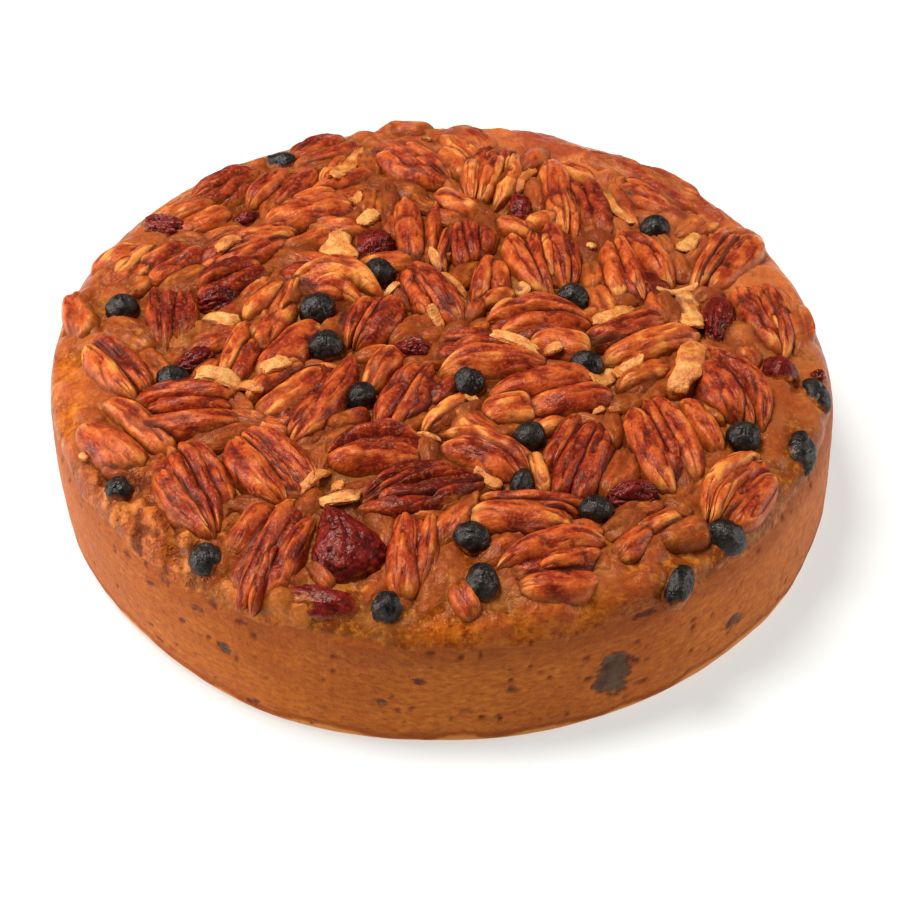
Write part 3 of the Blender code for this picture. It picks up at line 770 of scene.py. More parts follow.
def spread(tree, value, low, high, to_low=0.0, to_high=1.0):
    """A number taken from one range to another, smoothly and never past the ends."""
    sockets = {0: value, 1: low, 2: high, 3: to_low, 4: to_high}
    return add(tree, "MapRange", sockets, interpolation_type="SMOOTHSTEP").outputs[0]


def layers(tree, tint, rows):
    """Colours laid over a first one: value, its two ends, the share at the second, the colour."""
    for value, low, high, share, *over in rows:
        tint = blend(tree, spread(tree, value, low, high, 0, share), tint, colour(*over))
    return tint


def sums(tree, kind, first, second):
    """Two numbers worked together, as a socket."""
    return add(tree, "Math", {0: first, 1: second}, operation=kind).outputs[0]


def plus(tree, first, second):
    return sums(tree, "ADD", first, second)


def times(tree, first, second):
    return sums(tree, "MULTIPLY", first, second)


def speckle(tree, vector, scale, detail=3.0, stretch=(1, 1, 1)):
    """Noise from 0 to 1, finer along an axis whose stretch is larger."""
    at = add(tree, "VectorMath", {0: vector, 1: stretch}, operation="MULTIPLY").outputs[0]
    return add(tree, "TexNoise", {"Vector": at, "Scale": scale, "Detail": detail}).outputs[0]


def axes(tree, vector):
    """The three numbers of a vector, as sockets."""
    return add(tree, "SeparateXYZ", {0: vector}).outputs


def read(tree, name, kind="Fac"):
    """A number or vector that was kept on the piece's points."""
    return add(tree, "Attribute", {}, attribute_name=name).outputs[kind]


def own_place(tree):
    """Where a point lies, in metres from the middle of the cake's foot."""
    return add(tree, "TexCoord", {}).outputs["Object"]


def bumps(tree, shader, height, distance, strength):
    """Relief too fine for the mesh: it only turns the light."""
    sockets = {"Height": height, "Distance": distance, "Strength": strength}
    tree.links.new(add(tree, "Bump", sockets).outputs[0], shader["Normal"])


def group(name, ins, outs):
    """A node group with named sockets: each maps a name to Float, Vector or Color."""
    tree = bpy.data.node_groups.new(name, "ShaderNodeTree")
    for way, sockets in (("INPUT", ins), ("OUTPUT", outs)):
        for key, kind in sockets.items():
            tree.interface.new_socket(key, in_out=way, socket_type="NodeSocket" + kind)
    entry, exit_ = tree.nodes.new("NodeGroupInput"), tree.nodes.new("NodeGroupOutput")
    return tree, entry.outputs, exit_.inputs


def use(tree, shared, sockets):
    """The outputs of a shared node group, placed in a material."""
    return add(tree, "Group", sockets, node_tree=shared).outputs


def material(name, **sockets):
    """A material and its shader, with the values that are the same all over it."""
    new = bpy.data.materials.new(name)
    new.use_nodes = True
    shader = new.node_tree.nodes["Principled BSDF"]
    for key, value in sockets.items():
        shader.inputs[key.replace("_", " ")].default_value = value
    return new, new.node_tree, shader.inputs


print("the batter's tan, written as light:", np.round(colour(180, 88, 16), 2))

# %% [markdown]
# ## Finishes that several materials share
#
# Baked batter shows on the cake's top and as a thin film on the foot of each topping, so its
# colour is one node group: tan and orange-brown patches, with fine dark freckles. A second group
# says how much film covers a topping, from how far each point stands over the batter. A third
# makes the batter redder and lighter at the back right.

# %% The batter's colour and its film
baked, entry, leave = group(
    "baked_batter", {"Place": "Vector", "Warmth": "Float"}, {"Colour": "Color", "Relief": "Float"}
)
patch = speckle(baked, entry["Place"], 95, 4)
lump = speckle(baked, entry["Place"], 330, 3)
fleck = speckle(baked, entry["Place"], 850, 3)
warm = plus(baked, patch, entry["Warmth"])
tint = blend(baked, spread(baked, warm, 0.3, 0.75), colour(126, 58, 10), colour(180, 88, 16))
tint = layers(baked, tint, [
    (lump, 0.5, 0.7, 0.75, 124, 42, 6),
    (lump, 0.48, 0.3, 0.6, 212, 126, 40),
    (fleck, 0.53, 0.72, 0.6, 92, 32, 4),
    (fleck, 0.46, 0.3, 0.35, 210, 132, 58),
])
baked.links.new(tint, leave["Colour"])
baked.links.new(plus(baked, fleck, times(baked, lump, 2)), leave["Relief"])

film, entry, leave = group(
    "batter_film", {"Above": "Float", "Place": "Vector", "Depth": "Float"}, {"Cover": "Float"}
)
ragged = spread(film, speckle(film, entry["Place"], 260, 3), 0.3, 0.7, -0.5, 0.5)
pooled = spread(film, speckle(film, entry["Place"], 90, 2), 0.35, 0.65, -0.5, 0.5)
clear = plus(film, plus(film, entry["Above"], ragged), pooled)
share = sums(film, "DIVIDE", clear, entry["Depth"])
film.links.new(spread(film, share, 0, 1, 0.95, 0), leave["Cover"])

back_right_tint, entry, leave = group(
    "back_right_tint", {"Place": "Vector", "Colour": "Color"}, {"Colour": "Color"}
)
spot = axes(back_right_tint, entry["Place"])
# the batter is made redder and lighter towards the back right
share = spread(back_right_tint, plus(back_right_tint, spot[0], spot[1]), 0.04, 0.12, 0, 0.75)
blush = spread(back_right_tint, speckle(back_right_tint, entry["Place"], 120, 3), 0.42, 0.6)
tint = blend(back_right_tint, blush, colour(206, 112, 56), colour(160, 66, 38))
back_right_tint.links.new(blend(back_right_tint, share, entry["Colour"], tint), leave["Colour"])

WARM_SHINE = (1, 0.55, 0.32, 1)    # the glaze tints what it reflects
FILM_WARMTH = -0.05                # the film on a topping is a little darker than the top


def under_film(tree, at, depth):
    """How much batter covers each point of a topping, and the colour of that batter."""
    cover = use(tree, film, {"Above": read(tree, "above"), "Place": at, "Depth": depth})["Cover"]
    return cover, use(tree, baked, {"Place": at, "Warmth": FILM_WARMTH})["Colour"]


print("shared finishes:", *[shared.name for shared in (baked, film, back_right_tint)])

# %% [markdown]
# The cake's skin carries two finishes, glossy on top and matt at the side. They meet along a
# slightly wavy line at the rim, so the share of each is worked out in the material from the
# height of the point, with some noise to make the line uneven. The side is redder near the rim
# and lighter at its foot, with a dark line above that, and painted shade darkens its pits. On
# the top, painted shade darkens the narrow gaps, and a painted contact shadow the narrowest. The
# top is redder over covered nuts, redder and lighter at the back right, golden over a few lumps,
# and crumbly, with painted shade in its clefts and dents, at the front left.

# %% Finish of the cake's skin
RIM_LINE = (0.0311, 0.0319)        # heights in metres between which matt turns to glossy


def side_colour(tree, at, height, low, grain):
    """The matt side: grain, dashes, the lighter foot, pits and marks."""
    dash = speckle(tree, at, 620, 2, (0.8, 0.8, 1.5))
    broad = spread(tree, speckle(tree, at, 34, 3), 0.3, 0.7)
    side = blend(tree, broad, colour(176, 89, 20), colour(196, 107, 30))
    side = layers(tree, side, [
        (grain, 0.35, 0.7, 0.6, 150, 64, 16),
        (grain, 0.42, 0.2, 0.5, 216, 128, 50),
        (dash, 0.66, 0.74, 0.7, 104, 38, 12),
        (height, 0.022, 0.031, 0.4, 134, 60, 36),
    ])
    line = times(tree, spread(tree, low, 0.0016, 0.0026), spread(tree, low, 0.0044, 0.003, 0, 0.6))
    side = blend(tree, line, side, colour(140, 58, 12))
    side = layers(tree, side, [(low, 0.0022, 0.0012, 1, 214, 136, 66)])
    # painted shade in the pits
    side = blend(tree, read(tree, "pits"), side, colour(84, 32, 10))
    mark = read(tree, "marks")
    mottle = spread(tree, speckle(tree, at, 300, 4), 0.3, 0.7)
    stain = blend(tree, mottle, colour(56, 44, 34), colour(86, 72, 60))
    stain = blend(tree, spread(tree, mark, 0.6, 0.74), colour(88, 34, 26), stain)
    torn = spread(tree, speckle(tree, at, 520, 3, (1, 1, 1.6)), 0.3, 0.7, -0.2, 0.2)
    return blend(tree, spread(tree, plus(tree, mark, torn), 0.25, 0.75, 0, 0.92), side, stain)


def top_colour(tree, at, crust, cleft, crumb):
    """The glossy top: milky, nutty, golden and crumbly parts and painted shade over plain batter."""
    hollow = read(tree, "hollow")
    # painted shade in the gaps near the toppings, inside the rim
    painted_gap_shade = times(tree, times(tree, hollow, read(tree, "inner")), 0.6)
    crust = blend(tree, painted_gap_shade, crust, colour(88, 34, 4))
    milky = spread(tree, speckle(tree, at, 110, 2), 0.44, 0.62, 0, 0.45)
    crust = blend(tree, times(tree, hollow, milky), crust, colour(170, 104, 46))
    crust = blend(tree, times(tree, read(tree, "nutty"), 0.5), crust, colour(166, 74, 36))
    crust = blend(tree, times(tree, read(tree, "golden"), 0.45), crust, colour(208, 122, 48))
    crust = use(tree, back_right_tint, {"Place": at, "Colour": crust})["Colour"]
    # painted shade in the crumbly clefts
    crust = blend(tree, times(tree, cleft, 0.55), crust, colour(122, 44, 16))
    bright = times(tree, read(tree, "crumbly"), spread(tree, crumb, 0.45, 0.36, 0, 0.3))
    crust = blend(tree, bright, crust, colour(220, 136, 66))
    # painted contact shadow in the narrowest gaps, at the toppings' feet
    crust = blend(tree, times(tree, read(tree, "tight"), 0.45), crust, colour(76, 20, 1))
    # painted shade in the pits and the crumbly dents
    return blend(tree, times(tree, read(tree, "pits"), 0.8), crust, colour(90, 32, 8))


def skin_material():
    """Matt side and glossy top in one material, with the share of each worked out by height."""
    skin, tree, shader = material("baked_crust", Specular_IOR_Level=0.26, Specular_Tint=WARM_SHINE)
    at = own_place(tree)
    height = axes(tree, at)[2]
    wave = spread(tree, speckle(tree, at, 60, 3), 0.3, 0.7, -0.0012, 0.0012)
    low = plus(tree, height, wave)
    glossy = spread(tree, low, *RIM_LINE)
    grain = speckle(tree, at, 430, 5, (1, 1, 1.8))
    crumb = speckle(tree, at, 440, 4)
    # the clefts sink the relief, and top_colour darkens them as painted shade
    cleft = times(tree, read(tree, "crumbly"), spread(tree, crumb, 0.51, 0.6))
    # near the toppings the batter's own tint also turns darker and browner: painted shade
    warmth = spread(tree, read(tree, "hollow"), 0, 1, 0.14, -0.22)
    plain = use(tree, baked, {"Place": at, "Warmth": warmth})

    side = side_colour(tree, at, height, low, grain)
    crust = top_colour(tree, at, plain["Colour"], cleft, crumb)
    tree.links.new(blend(tree, glossy, side, crust), shader["Base Color"])
    sheen = spread(tree, speckle(tree, at, 300, 3), 0.3, 0.7, 0.3, 0.46)
    tree.links.new(mix(tree, glossy, 0.6, sheen), shader["Roughness"])
    pores = plus(tree, grain, times(tree, speckle(tree, at, 1100, 2), 0.6))
    rise = sums(tree, "SUBTRACT", plain["Relief"], cleft)
    bumps(tree, shader, mix(tree, glossy, pores, rise), 0.0006, 0.6)
    return skin


skin = skin_mesh()
top_heights = shape_skin(skin)
cake = piece("cake_skin", skin, skin_material())
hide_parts("cake")
print(len(skin.vertices), "points in the skin; the batter runs",
      f"from {top_heights.min():.1f} to {top_heights.max():.1f} mm high")

# %% [markdown]
# ## One way to set every topping
#
# Each kind of topping starts as one blank mesh, such as a sphere, and a formula that turns the
# blank's points into the shape of one topping. The formula works in the topping's own axes:
# along, across and up. A topping is then laid on the plane that fits the cake's crown best under
# it, so nuts near the rim lean outward. The joined copies make one piece.

# %% Lay toppings on the crown
def seat(topping):
    """Middle of a topping and its three axes, leaning with the crown under it."""
    turn = radians(topping.heading)
    along = np.array([cos(turn), sin(turn)])
    across = np.array([-sin(turn), cos(turn)])
    under = (-0.4, 0, 0.4)            # the plane is fitted at nine points under the topping
    u, v = np.meshgrid(under, under)
    u, v = u.ravel() * topping.length, v.ravel() * topping.width
    x = topping.x + u * along[0] + v * across[0]
    y = topping.y + u * along[1] + v * across[1]
    rows = np.stack([u, v, np.ones_like(u)], 1)
    lean_u, lean_v, height = np.linalg.lstsq(rows, crown(np.hypot(x, y)), rcond=None)[0]
    up = np.cross([*along, lean_u], [*across, lean_v])
    middle = np.array([topping.x, topping.y, height - topping.sunk])
    return middle, np.array([*along, lean_u]), np.array([*across, lean_v]), up / np.hypot(*up[::2])


def lay(topping, own):
    """Points in a topping's own axes, moved to their place on the cake."""
    middle, along, across, up = seat(topping)
    return middle + own[:, :1] * along + own[:, 1:2] * across + own[:, 2:] * up


SPARE = 1.1                       # mm by which each lobe runs on under its neighbours


def leaf(topping, along):
    """How narrow a large nut is at a place along it, compared with its middle."""
    if not topping.half:
        return np.ones_like(along)
    t = np.abs(along + topping.ahead) / (topping.half + SPARE)
    return np.clip(1 - t ** 2.8, 0.1, 1) ** 0.5


def roof(topping, x, y):
    """Height of a lobe's top over a point of the plan, very low outside the lobe."""
    along, across = local(topping, x, y)
    across = (across + topping.aside) / leaf(topping, along) - topping.aside
    t = np.abs(along) / (topping.length / 2 + SPARE)
    narrow = np.clip(1 - t ** 3.4, 0, 1) ** 0.5
    s = np.abs(across - topping.bow * (1 - t * t)) / (topping.width / 2 + SPARE) / (narrow + 0.01)
    body = np.clip(1 - t ** 4, 0, 1) ** 0.5
    height = topping.height * body * np.clip(1 - s ** topping.arch, 0, 1) ** 0.5
    return np.where((t < 1) & (s < 1), crown(np.hypot(x, y)) - topping.sunk + height, -99)


LOBE_LIST = [*fingers, *pressed, *large_lobes]


def crowded(topping, points):
    """From 0 to 1, how near a lobe's points lie to the creases where it meets its neighbours."""
    x, y, z = points.T
    near = np.full(len(x), -99.0)
    for other in LOBE_LIST:
        far = np.hypot(other.x - topping.x, other.y - topping.y)
        if other is not topping and far < (other.length + topping.length) / 2:
            near = np.maximum(near, roof(other, x, y))
    crease = step(z - near, 1.1, 0.1) * (z - near > -1.2)
    return crease * step(outside(topping, x, y), -0.3 * topping.width, -0.08 * topping.width)


def dress(name, blank, toppings, shape, finish):
    """One piece made of a copy of the blank for each topping, shaped and laid in place."""
    bm = bmesh.new()
    for _ in toppings:
        bm.from_mesh(blank)
    mesh = to_mesh(bm, name)
    ball = places(blank)
    parts = [shape(topping, ball) for topping in toppings]
    laid = [lay(t, own) for t, (own, _, _) in zip(toppings, parts)]
    if shape is finger:               # painted shade darkens the creases where lobes press on each other
        for topping, spots, (_, _, looks) in zip(toppings, laid, parts):
            looks[:, 1] = np.maximum(looks[:, 1], crowded(topping, spots))
    points = np.concatenate(laid)
    place(mesh, points)
    note(mesh, "grain", np.concatenate([grain for _, grain, _ in parts]))
    note(mesh, "looks", np.concatenate([looks for _, _, looks in parts]))
    cover = np.repeat([topping.film for topping in toppings], len(ball))
    note(mesh, "above", points[:, 2] - batter(points[:, 0], points[:, 1]) - cover)
    return piece(name, mesh, finish)


leaning = seat(pecans["pecan_08"])[3]
print(f"pecan_08, at the rim, leans {np.degrees(np.arccos(leaning[2])):.0f} degrees outward")

# %% [markdown]
# ## Pecan halves
#
# Each lobe of a nut is a finger: a long round with blunt ends, one a little thicker than the
# other, wrinkled along its length. The blank is a sphere whose poles become the ends. Two thirds
# of its meridians make the part that shows; the rest close the underside, down in the batter.
# The lobes of a large nut draw in together towards its ends, as the veins of a leaf do. Under
# them a lower round shows at the bottom of the creases, in a darker tone that is painted shade.

# %% The shape of a lobe
SHOWN = 120                       # degrees to each side of its top that show of a lobe


def sphere(columns, rows):
    """The blank of a lobe."""
    bm = bmesh.new()
    bmesh.ops.create_uvsphere(bm, u_segments=columns, v_segments=rows, radius=1)
    bmesh.ops.reverse_faces(bm, faces=bm.faces)    # the shaping below turns them round again
    return to_mesh(bm, "blank_sphere")


def finger(topping, ball):
    """A sphere's points shaped to one lobe, and what the finish needs to know of them."""
    dice = np.random.default_rng(topping.seed)
    t = ball[:, 2]                    # -1 to 1 along the lobe
    side = np.degrees(np.arctan2(ball[:, 1], ball[:, 0]))
    upper = np.abs(side) <= SHOWN + 0.1
    s = -np.cos(pi * np.clip((side + SHOWN) / (2 * SHOWN), 0, 1))    # -1 to 1 across it
    blunt = np.where(t < 0, *dice.uniform(2.2, 3.6, 2))
    outline = np.clip(1 - np.abs(t) ** blunt, 0, 1) ** 0.5 * (1 + dice.uniform(-0.2, 0.2) * t)
    body = np.clip(1 - np.abs(t) ** (blunt + 0.6), 0, 1) ** 0.5
    arch = np.clip(1 - np.abs(s) ** topping.arch, 0, 1) ** 0.5
    seed = 9.0 * topping.seed
    u = t * (topping.length / 2 + SPARE)
    v = s * (topping.width / 2 + SPARE)
    sway = v + 0.7 * noise(u, seed, 8, 5)
    folds = step(1 - 2.2 * np.abs(noise(u / 4 + seed, sway, 0, 1.7)), 0.55, 1)
    ripple = noise(u / 2 + seed, 1.3 * v, 3, 3) + 0.4 * noise(u / 2 + seed, v, 9, 1.3)
    height = topping.height * body * arch * (1 + 0.1 * noise(u, seed, 1, 7))
    height += arch * body * (0.6 * ripple - 0.7 * folds)
    v = v * outline + topping.bow * (1 - t * t) + 0.35 * noise(u, seed, 0, 6) * (1 - t * t)
    under = np.radians((side % 360) - 180)         # 0 at the very bottom of the lobe
    below = topping.bow * (1 - t * t) - topping.width / 2 * outline * np.sin(1.5 * under)
    v = np.where(upper, v, below)
    v = (v + topping.aside) * leaf(topping, u) - topping.aside
    height = np.where(upper, height, -2.4 * body * np.cos(1.5 * under))

    tip = {0: -9 + 0 * t, 1: t, -1: -t, 2: np.abs(t)}[topping.pale]
    pale = 0.75 * step(tip + 0.4 * noise(u, v, seed, 2.5), 0.76, 1.15)
    shade = topping.tone - 0.02 + 0.5 * np.abs(t) ** 4 + 0.12 * s * s
    # painted light and shade: the ridges of the wrinkles lighter, their folds darker
    shade += 0.3 * ripple - 0.3 * folds
    # painted shade in the folds and along the lobe's lower edges, where it meets its neighbours
    crease = np.maximum(0.65 * folds, step(np.abs(s), 0.88, 1)) * upper
    grain = np.stack([u, v, np.full_like(u, seed)], 1)
    return np.stack([u, v, height], 1), grain, np.stack([shade, crease, pale], 1)


blank, small = sphere(48, 34), sphere(30, 22)
print("a large lobe has", len(blank.polygons), "faces, a small one", len(small.polygons))

# %% [markdown]
# Pecan skin is red-brown to orange and slightly waxy. It has streaks along the nut. Painted
# shade darkens its creases and the folds of its wrinkles, whose ridges are painted lighter.
# Where a nut is broken the pale flesh shows. The batter's film covers its foot, with painted
# shade where the foot lies deep. The streaks could be a picture wrapped round each nut; here
# they are noise that reads the lobe's own length and width, so they turn and bend with it.

# %% Finish of the pecans
def pecan_material():
    """Tone and streaks along the nut, painted shade in the creases, broken flesh, then the batter's
    film.
    """
    nut, tree, shader = material("pecan_skin", Specular_IOR_Level=0.28,
                                 Specular_Tint=(1, 0.62, 0.45, 1))
    at = own_place(tree)
    grain = read(tree, "grain", "Vector")
    tone, crease, pale = axes(tree, read(tree, "looks", "Vector"))
    streak = speckle(tree, grain, 1.0, 3, (0.35, 1.3, 1))
    patch = speckle(tree, grain, 1.0, 3, (0.2, 0.36, 1))
    grit = speckle(tree, at, 1100, 3)
    shade = plus(tree, tone, spread(tree, patch, 0.25, 0.75, -0.32, 0.32))
    tint = blend(tree, spread(tree, shade, -0.1, 0.45), colour(92, 13, 6), colour(146, 43, 18))
    tint = layers(tree, tint, [
        (shade, 0.35, 0.75, 1, 188, 82, 32),
        (shade, 0.75, 1.2, 1, 228, 142, 64),
        (streak, 0.48, 0.75, 0.3, 108, 26, 8),
        (streak, 0.42, 0.22, 0.25, 214, 124, 56),
        (grit, 0.5, 0.7, 0.25, 104, 28, 10),
        (grit, 0.5, 0.3, 0.25, 216, 128, 66),
    ])
    # painted shade in the creases
    tint = blend(tree, times(tree, crease, 0.9), tint, colour(64, 10, 1))
    tint = blend(tree, pale, tint, colour(230, 154, 80))
    cover, foot = under_film(tree, at, 2.0)
    foot = blend(tree, 0.3, foot, colour(166, 74, 36))
    foot = use(tree, back_right_tint, {"Place": at, "Colour": foot})["Colour"]
    # painted shade on the film, darker the deeper the foot lies in the batter
    foot = layers(tree, foot, [(read(tree, "above"), 1.2, -0.4, 0.45, 92, 36, 6)])
    tree.links.new(blend(tree, cover, tint, foot), shader["Base Color"])
    polish = spread(tree, streak, 0.3, 0.7, 0.26, 0.4)
    tree.links.new(plus(tree, polish, times(tree, crease, 0.25)), shader["Roughness"])
    bumps(tree, shader, plus(tree, times(tree, streak, 2), grit), 0.0004, 0.45)
    return nut


nut_finish = pecan_material()
for name, nut in pecans.items():
    item = dress("real_" + name, blank, [nut, *nut.lobes], finger, nut_finish)
    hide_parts(name)
dress("small_pecans", small, fingers, finger, nut_finish)
dress("pressed_pecans", small, pressed, finger, nut_finish)
print(len(pecans), "large nuts,", len(fingers), "small lobes and", len(pressed), "in the gaps")

# %% [markdown]
# ## Berries and red fruit
#
# The dark berries are dried and shrivelled a little: nearly black balls with fine wrinkles and a
# grey bloom, and a small dimple where the stem was. The red fruits are flatter, glossy and
# deeply folded. Both start from an icosphere, whose faces are even all round.

# %% The shapes of berries and red fruit
def ball_blank(subdivisions):
    """The blank of a berry or a red fruit."""
    bm = bmesh.new()
    bmesh.ops.create_icosphere(bm, subdivisions=subdivisions, radius=1)
    return to_mesh(bm, "blank_ball")


def berry(topping, ball):
    """A ball with wide creases, fine wrinkles and a dimple."""
    size = topping.width / 2
    own = ball * [topping.length / 2, size, size]
    at = (own + 31 * topping.seed).T
    creases = step(1 - 2.4 * np.abs(noise(*at, 2.6)), 0.55, 1)
    wrinkles = step(1 - 2 * np.abs(noise(*at, 1.3)), 0.55, 1)
    lumps = noise(*at, 3.5)
    dimple = step(ball @ [0.3, -0.35, 0.89], 0.93, 1)
    dents = 0.35 * lumps - 0.3 * creases - 0.14 * wrinkles - 0.6 * dimple
    own = own * (1 + dents / size)[:, None] + [0, 0, topping.height - size]
    looks = np.stack([lumps, np.maximum(creases, 0.6 * wrinkles), dimple], 1)
    return own, at.T, looks


def red_fruit(topping, ball):
    """A flatter ball, perhaps narrower at one end, with deep folds."""
    narrow = 1 - topping.taper * ball[:, 0]
    own = ball * [topping.length / 2 + 0.3, topping.width / 2 + 0.3, topping.height]
    at = (own * [0.3, 1, 1] + 23 * topping.seed).T
    own[:, 1] *= narrow
    folds = step(1 - 2.2 * np.abs(noise(*at, 2)), 0.35, 1)
    fine = step(1 - 2 * np.abs(noise(*(at * [[1.1], [1], [1]]), 1.0)), 0.3, 1)
    size = np.linalg.norm(own, axis=1)
    scale = 1 + (0.25 * noise(*at, 4) - 0.6 * folds - 0.5 * fine) / size
    looks = np.stack([noise(*at, 5), np.maximum(folds, 0.5 * fine), 0 * size], 1)
    return own * scale[:, None], at.T, looks


large_ball, small_ball = ball_blank(5), ball_blank(4)
print("balls of", len(large_ball.polygons), "and", len(small_ball.polygons), "faces")

# %% [markdown]
# Both finishes follow the same order as the nuts': a colour that varies over the skin, painted
# shade in the folds, then the film of batter at the foot.

# %% Finish of the berries and red fruit
def fruit_material(name, dark, light, fold, bloom, roughness, distance, depth, shine):
    """Mottled skin with a bloom and painted shade in the folds, then the batter's film."""
    skin, tree, shader = material(name, Specular_IOR_Level=0.34, Specular_Tint=shine)
    at = own_place(tree)
    crease = axes(tree, read(tree, "looks", "Vector"))[1]
    mottle = speckle(tree, at, 420, 4)
    fine = speckle(tree, at, 1100, 3)
    tint = blend(tree, spread(tree, mottle, 0.35, 0.68), colour(*dark), colour(*light))
    tint = layers(tree, tint, [(fine, 0.5, 0.8, 0.7, *bloom)])
    # painted shade in the folds and wrinkles
    tint = blend(tree, times(tree, crease, 0.7), tint, colour(*fold))
    cover, foot = under_film(tree, at, depth)
    tree.links.new(blend(tree, cover, tint, foot), shader["Base Color"])
    tree.links.new(spread(tree, mottle, 0.3, 0.7, *roughness), shader["Roughness"])
    bumps(tree, shader, plus(tree, fine, mottle), distance, 0.6)
    return skin


berry_finish = fruit_material(
    "berry_skin", dark=(12, 8, 5), light=(34, 26, 20), fold=(4, 2, 1), bloom=(80, 70, 60),
    roughness=(0.28, 0.5), distance=0.0006, depth=1.0, shine=(1, 0.9, 0.84, 1))
red_finish = fruit_material(
    "red_fruit_skin", dark=(84, 8, 7), light=(124, 24, 16), fold=(42, 2, 2), bloom=(156, 48, 28),
    roughness=(0.22, 0.36), distance=0.0005, depth=1.2, shine=(1, 0.62, 0.5, 1))
for topping in [*berries.values(), *small_berries]:
    edge = step(np.hypot(topping.x, topping.y), 76, 92)
    topping.height = (0.72 - 0.16 * edge) * topping.width
for name, topping in berries.items():
    item = dress("real_" + name, small_ball, [topping], berry, berry_finish)
    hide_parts(name)
for name, topping in fruits.items():
    if not topping.taper:
        topping.length, topping.width = 1.1 * topping.length, 1.1 * topping.width
    topping.height = 2.8 + 0.25 * topping.width
    item = dress("real_" + name, large_ball, [topping], red_fruit, red_finish)
    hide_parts(name)
for topping in small_fruits:
    topping.height = 2.6 + 0.25 * topping.width
dress("small_berries", small_ball, small_berries, berry, berry_finish)
dress("small_red_fruits", small_ball, small_fruits, red_fruit, red_finish)
print(len(berries) + len(small_berries), "berries,", len(fruits) + len(small_fruits), "red fruits")

# %% [markdown]
# ## Pale chips
#
# Chips of nut and peel lie on the batter and across the nuts. They are rough blocks with soft
# edges: a cube cut into small squares, whose points are drawn in towards a rounded box. Each
# chip bends to follow whatever it lies on.

# %% The chips
def cube_blank(cuts):
    """The blank of a chip."""
    bm = bmesh.new()
    bmesh.ops.create_cube(bm, size=2)
    bmesh.ops.subdivide_edges(bm, edges=bm.edges, cuts=cuts, use_grid_fill=True)
    return to_mesh(bm, "blank_cube")


def surface(x, y):
    """Height of the batter or of the nut on it."""
    near = [t for t in LOBE_LIST if np.hypot(x - t.x, y - t.y).min() < t.length / 2]
    return np.max([batter(x, y), *[roof(t, x, y) for t in near]], 0)


def chip(topping, ball):
    """A rough rounded block, bent to follow what it lies on."""
    reach = np.sum(np.abs(ball) ** 3, 1) ** (1 / 3)
    own = ball / reach[:, None]
    t, s = own[:, 0], own[:, 1]
    at = (ball * 3 + 17 * topping.seed).T
    thick = topping.height / 2
    seed = 7.3 * topping.seed
    coarse = 0.055 * min(topping.width, 5) * rough(*at, 1)
    u = t * topping.length / 2 * (1 + 0.2 * noise(2 * s, seed, 3, 1.2)) + coarse
    v = s * topping.width / 2 * (1 + 0.32 * noise(u + 50, 2 * s, seed, 3))
    v += 0.06 * topping.length * noise(u, seed, 9, 8) + coarse
    middle, along, *_ = seat(topping)
    rest = surface(middle[0] + u * along[0], middle[1] + u * along[1]) - middle[2] - u * along[2]
    lift = np.polyval(np.polyfit(u, rest, 2), u)
    swell = 1 - 0.12 * (t * t + s * s) + 0.2 * noise(u, v, seed, 2.5)
    w = lift + own[:, 2] * thick * swell + 0.22 * thick + coarse
    looks = np.stack([np.full_like(u, topping.tone), 0 * u, np.abs(s)], 1)
    return np.stack([u, v, w], 1), at.T, looks


def chip_material():
    """Pale flesh from orange to cream, browner at the edges, then the batter's film."""
    flesh, tree, shader = material("chip_flesh", Specular_IOR_Level=0.4)
    at = own_place(tree)
    tone, _, edge = axes(tree, read(tree, "looks", "Vector"))
    mottle = speckle(tree, at, 380, 4)
    fine = speckle(tree, at, 1300, 3)
    shade = plus(tree, tone, spread(tree, mottle, 0.3, 0.7, -0.55, 0.3))
    tint = blend(tree, spread(tree, shade, 0, 0.5), colour(176, 84, 28), colour(204, 122, 48))
    tint = layers(tree, tint, [
        (shade, 0.5, 1.1, 1, 222, 158, 84),
        (edge, 0.6, 1, 0.5, 200, 106, 38),
        (fine, 0.5, 0.75, 0.5, 176, 90, 34),
    ])
    cover, foot = under_film(tree, at, 0.9)
    tree.links.new(blend(tree, cover, tint, foot), shader["Base Color"])
    tree.links.new(spread(tree, mottle, 0.3, 0.7, 0.42, 0.62), shader["Roughness"])
    bumps(tree, shader, plus(tree, fine, mottle), 0.0006, 0.7)
    return flesh


dress("pale_chips", cube_blank(10), pale_pieces, chip, chip_material())
print(len(pale_pieces), "pale chips")

# %% [markdown]
# ## Floor, light and camera
#
# The cake stands on a pale floor in a soft white room. One lamp overhead, a little behind and
# to the left, shapes the nuts and gives the glaze its shine. Two weaker lamps, left and right,
# light the sides. The camera looks down from the front.

# %% Floor, light and camera
def point_at(item, target):
    """Turn a lamp or camera so that it faces a place."""
    item.rotation_euler = (Vector(target) - item.location).to_track_quat("-Z", "Y").to_euler()


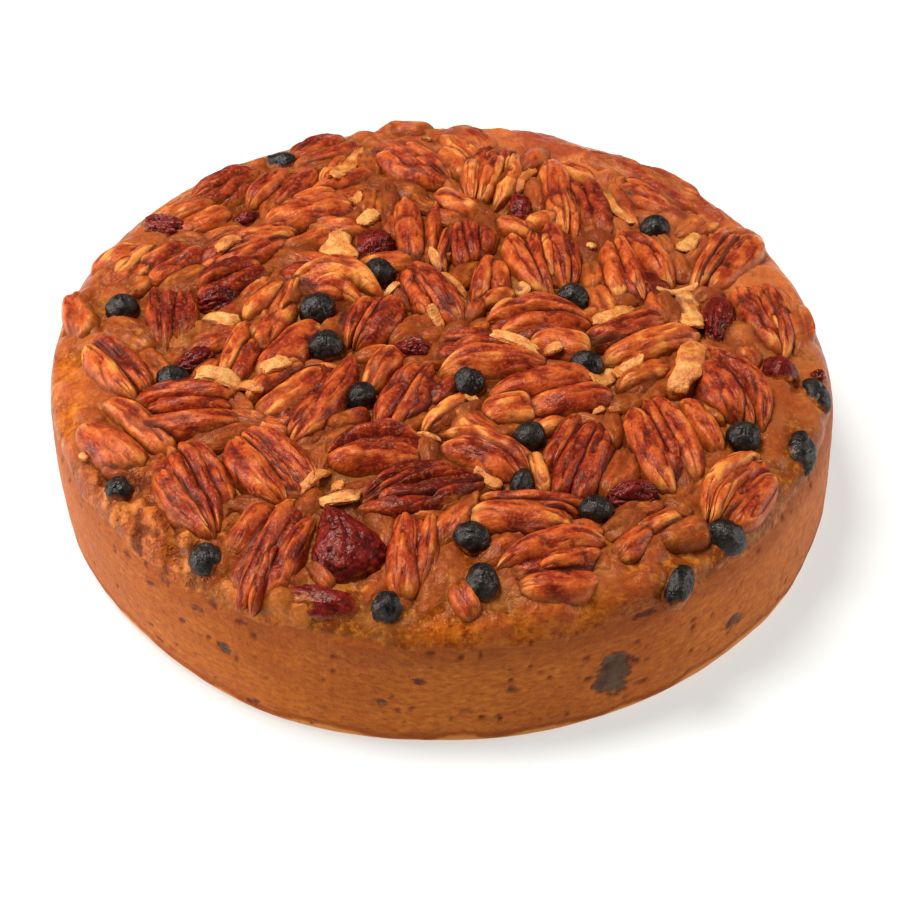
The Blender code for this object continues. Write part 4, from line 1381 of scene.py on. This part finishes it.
def round_lamp(name, place, target, size, power):
    lamp = bpy.data.lights.new(name, "AREA")
    lamp.shape, lamp.size, lamp.energy = "DISK", size, power
    point_at(show(name, lamp, place), target)


FLOOR_DROP = 0.0002                # metres, so that the floor and the cake's foot don't fight
bm = bmesh.new()
bmesh.ops.create_grid(bm, x_segments=1, y_segments=1, size=4)
floor = show("floor", to_mesh(bm, "floor"), (0, 0, -FLOOR_DROP))
white, _, shader = material("white_floor", Roughness=0.9, Base_Color=(0.42, 0.42, 0.41, 1),
                            Emission_Color=(0.985, 1, 0.965, 1), Emission_Strength=0.55)
floor.data.materials.append(white)
floor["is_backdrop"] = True

world = bpy.data.worlds.new("studio")
bpy.context.scene.world = world
world.use_nodes = True
world.node_tree.nodes["Background"].inputs["Color"].default_value = (1, 1, 1, 1)
world.node_tree.nodes["Background"].inputs["Strength"].default_value = 0.145
round_lamp("overhead", (-0.42, 0.2, 1.35), (0, 0, 0), size=0.6, power=23)
round_lamp("left", (-1.3, -0.05, 0.4), (0, 0, 0.02), size=0.7, power=15)
round_lamp("right", (1.2, 0.1, 0.45), (0, 0, 0.02), size=0.7, power=7)

TILT = 41.2                        # degrees by which the camera looks down
DISTANCE = 0.8                     # metres from a point in the middle of the cake
MIDDLE_HEIGHT = 0.025
eye = bpy.data.cameras.new("camera")
eye.lens = 125.5
eye.clip_start, eye.clip_end = 0.05, 20
back, up = DISTANCE * cos(radians(TILT)), DISTANCE * sin(radians(TILT))
camera = show("camera", eye, (0, -back, up + MIDDLE_HEIGHT))
point_at(camera, (0.0024, 0, 0.0034))
bpy.context.scene.camera = camera
bpy.context.scene.view_settings.view_transform = "Standard"
print("the camera looks down by", TILT, "degrees from", DISTANCE, "metres")

# %% [markdown]
# Last, the boxes round the measured model and round the dressed cake are written side by side,
# so that the two sizes can be compared. If the dressed cake were much the larger, the measured
# one would be wrong.

# %% Write the sizes and finish
low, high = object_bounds()
{"cad": CAD_BOX, "visual": [list(low), list(high)]}
print("dressed cake, in metres, from", np.round(low, 4), "to", np.round(high, 4))
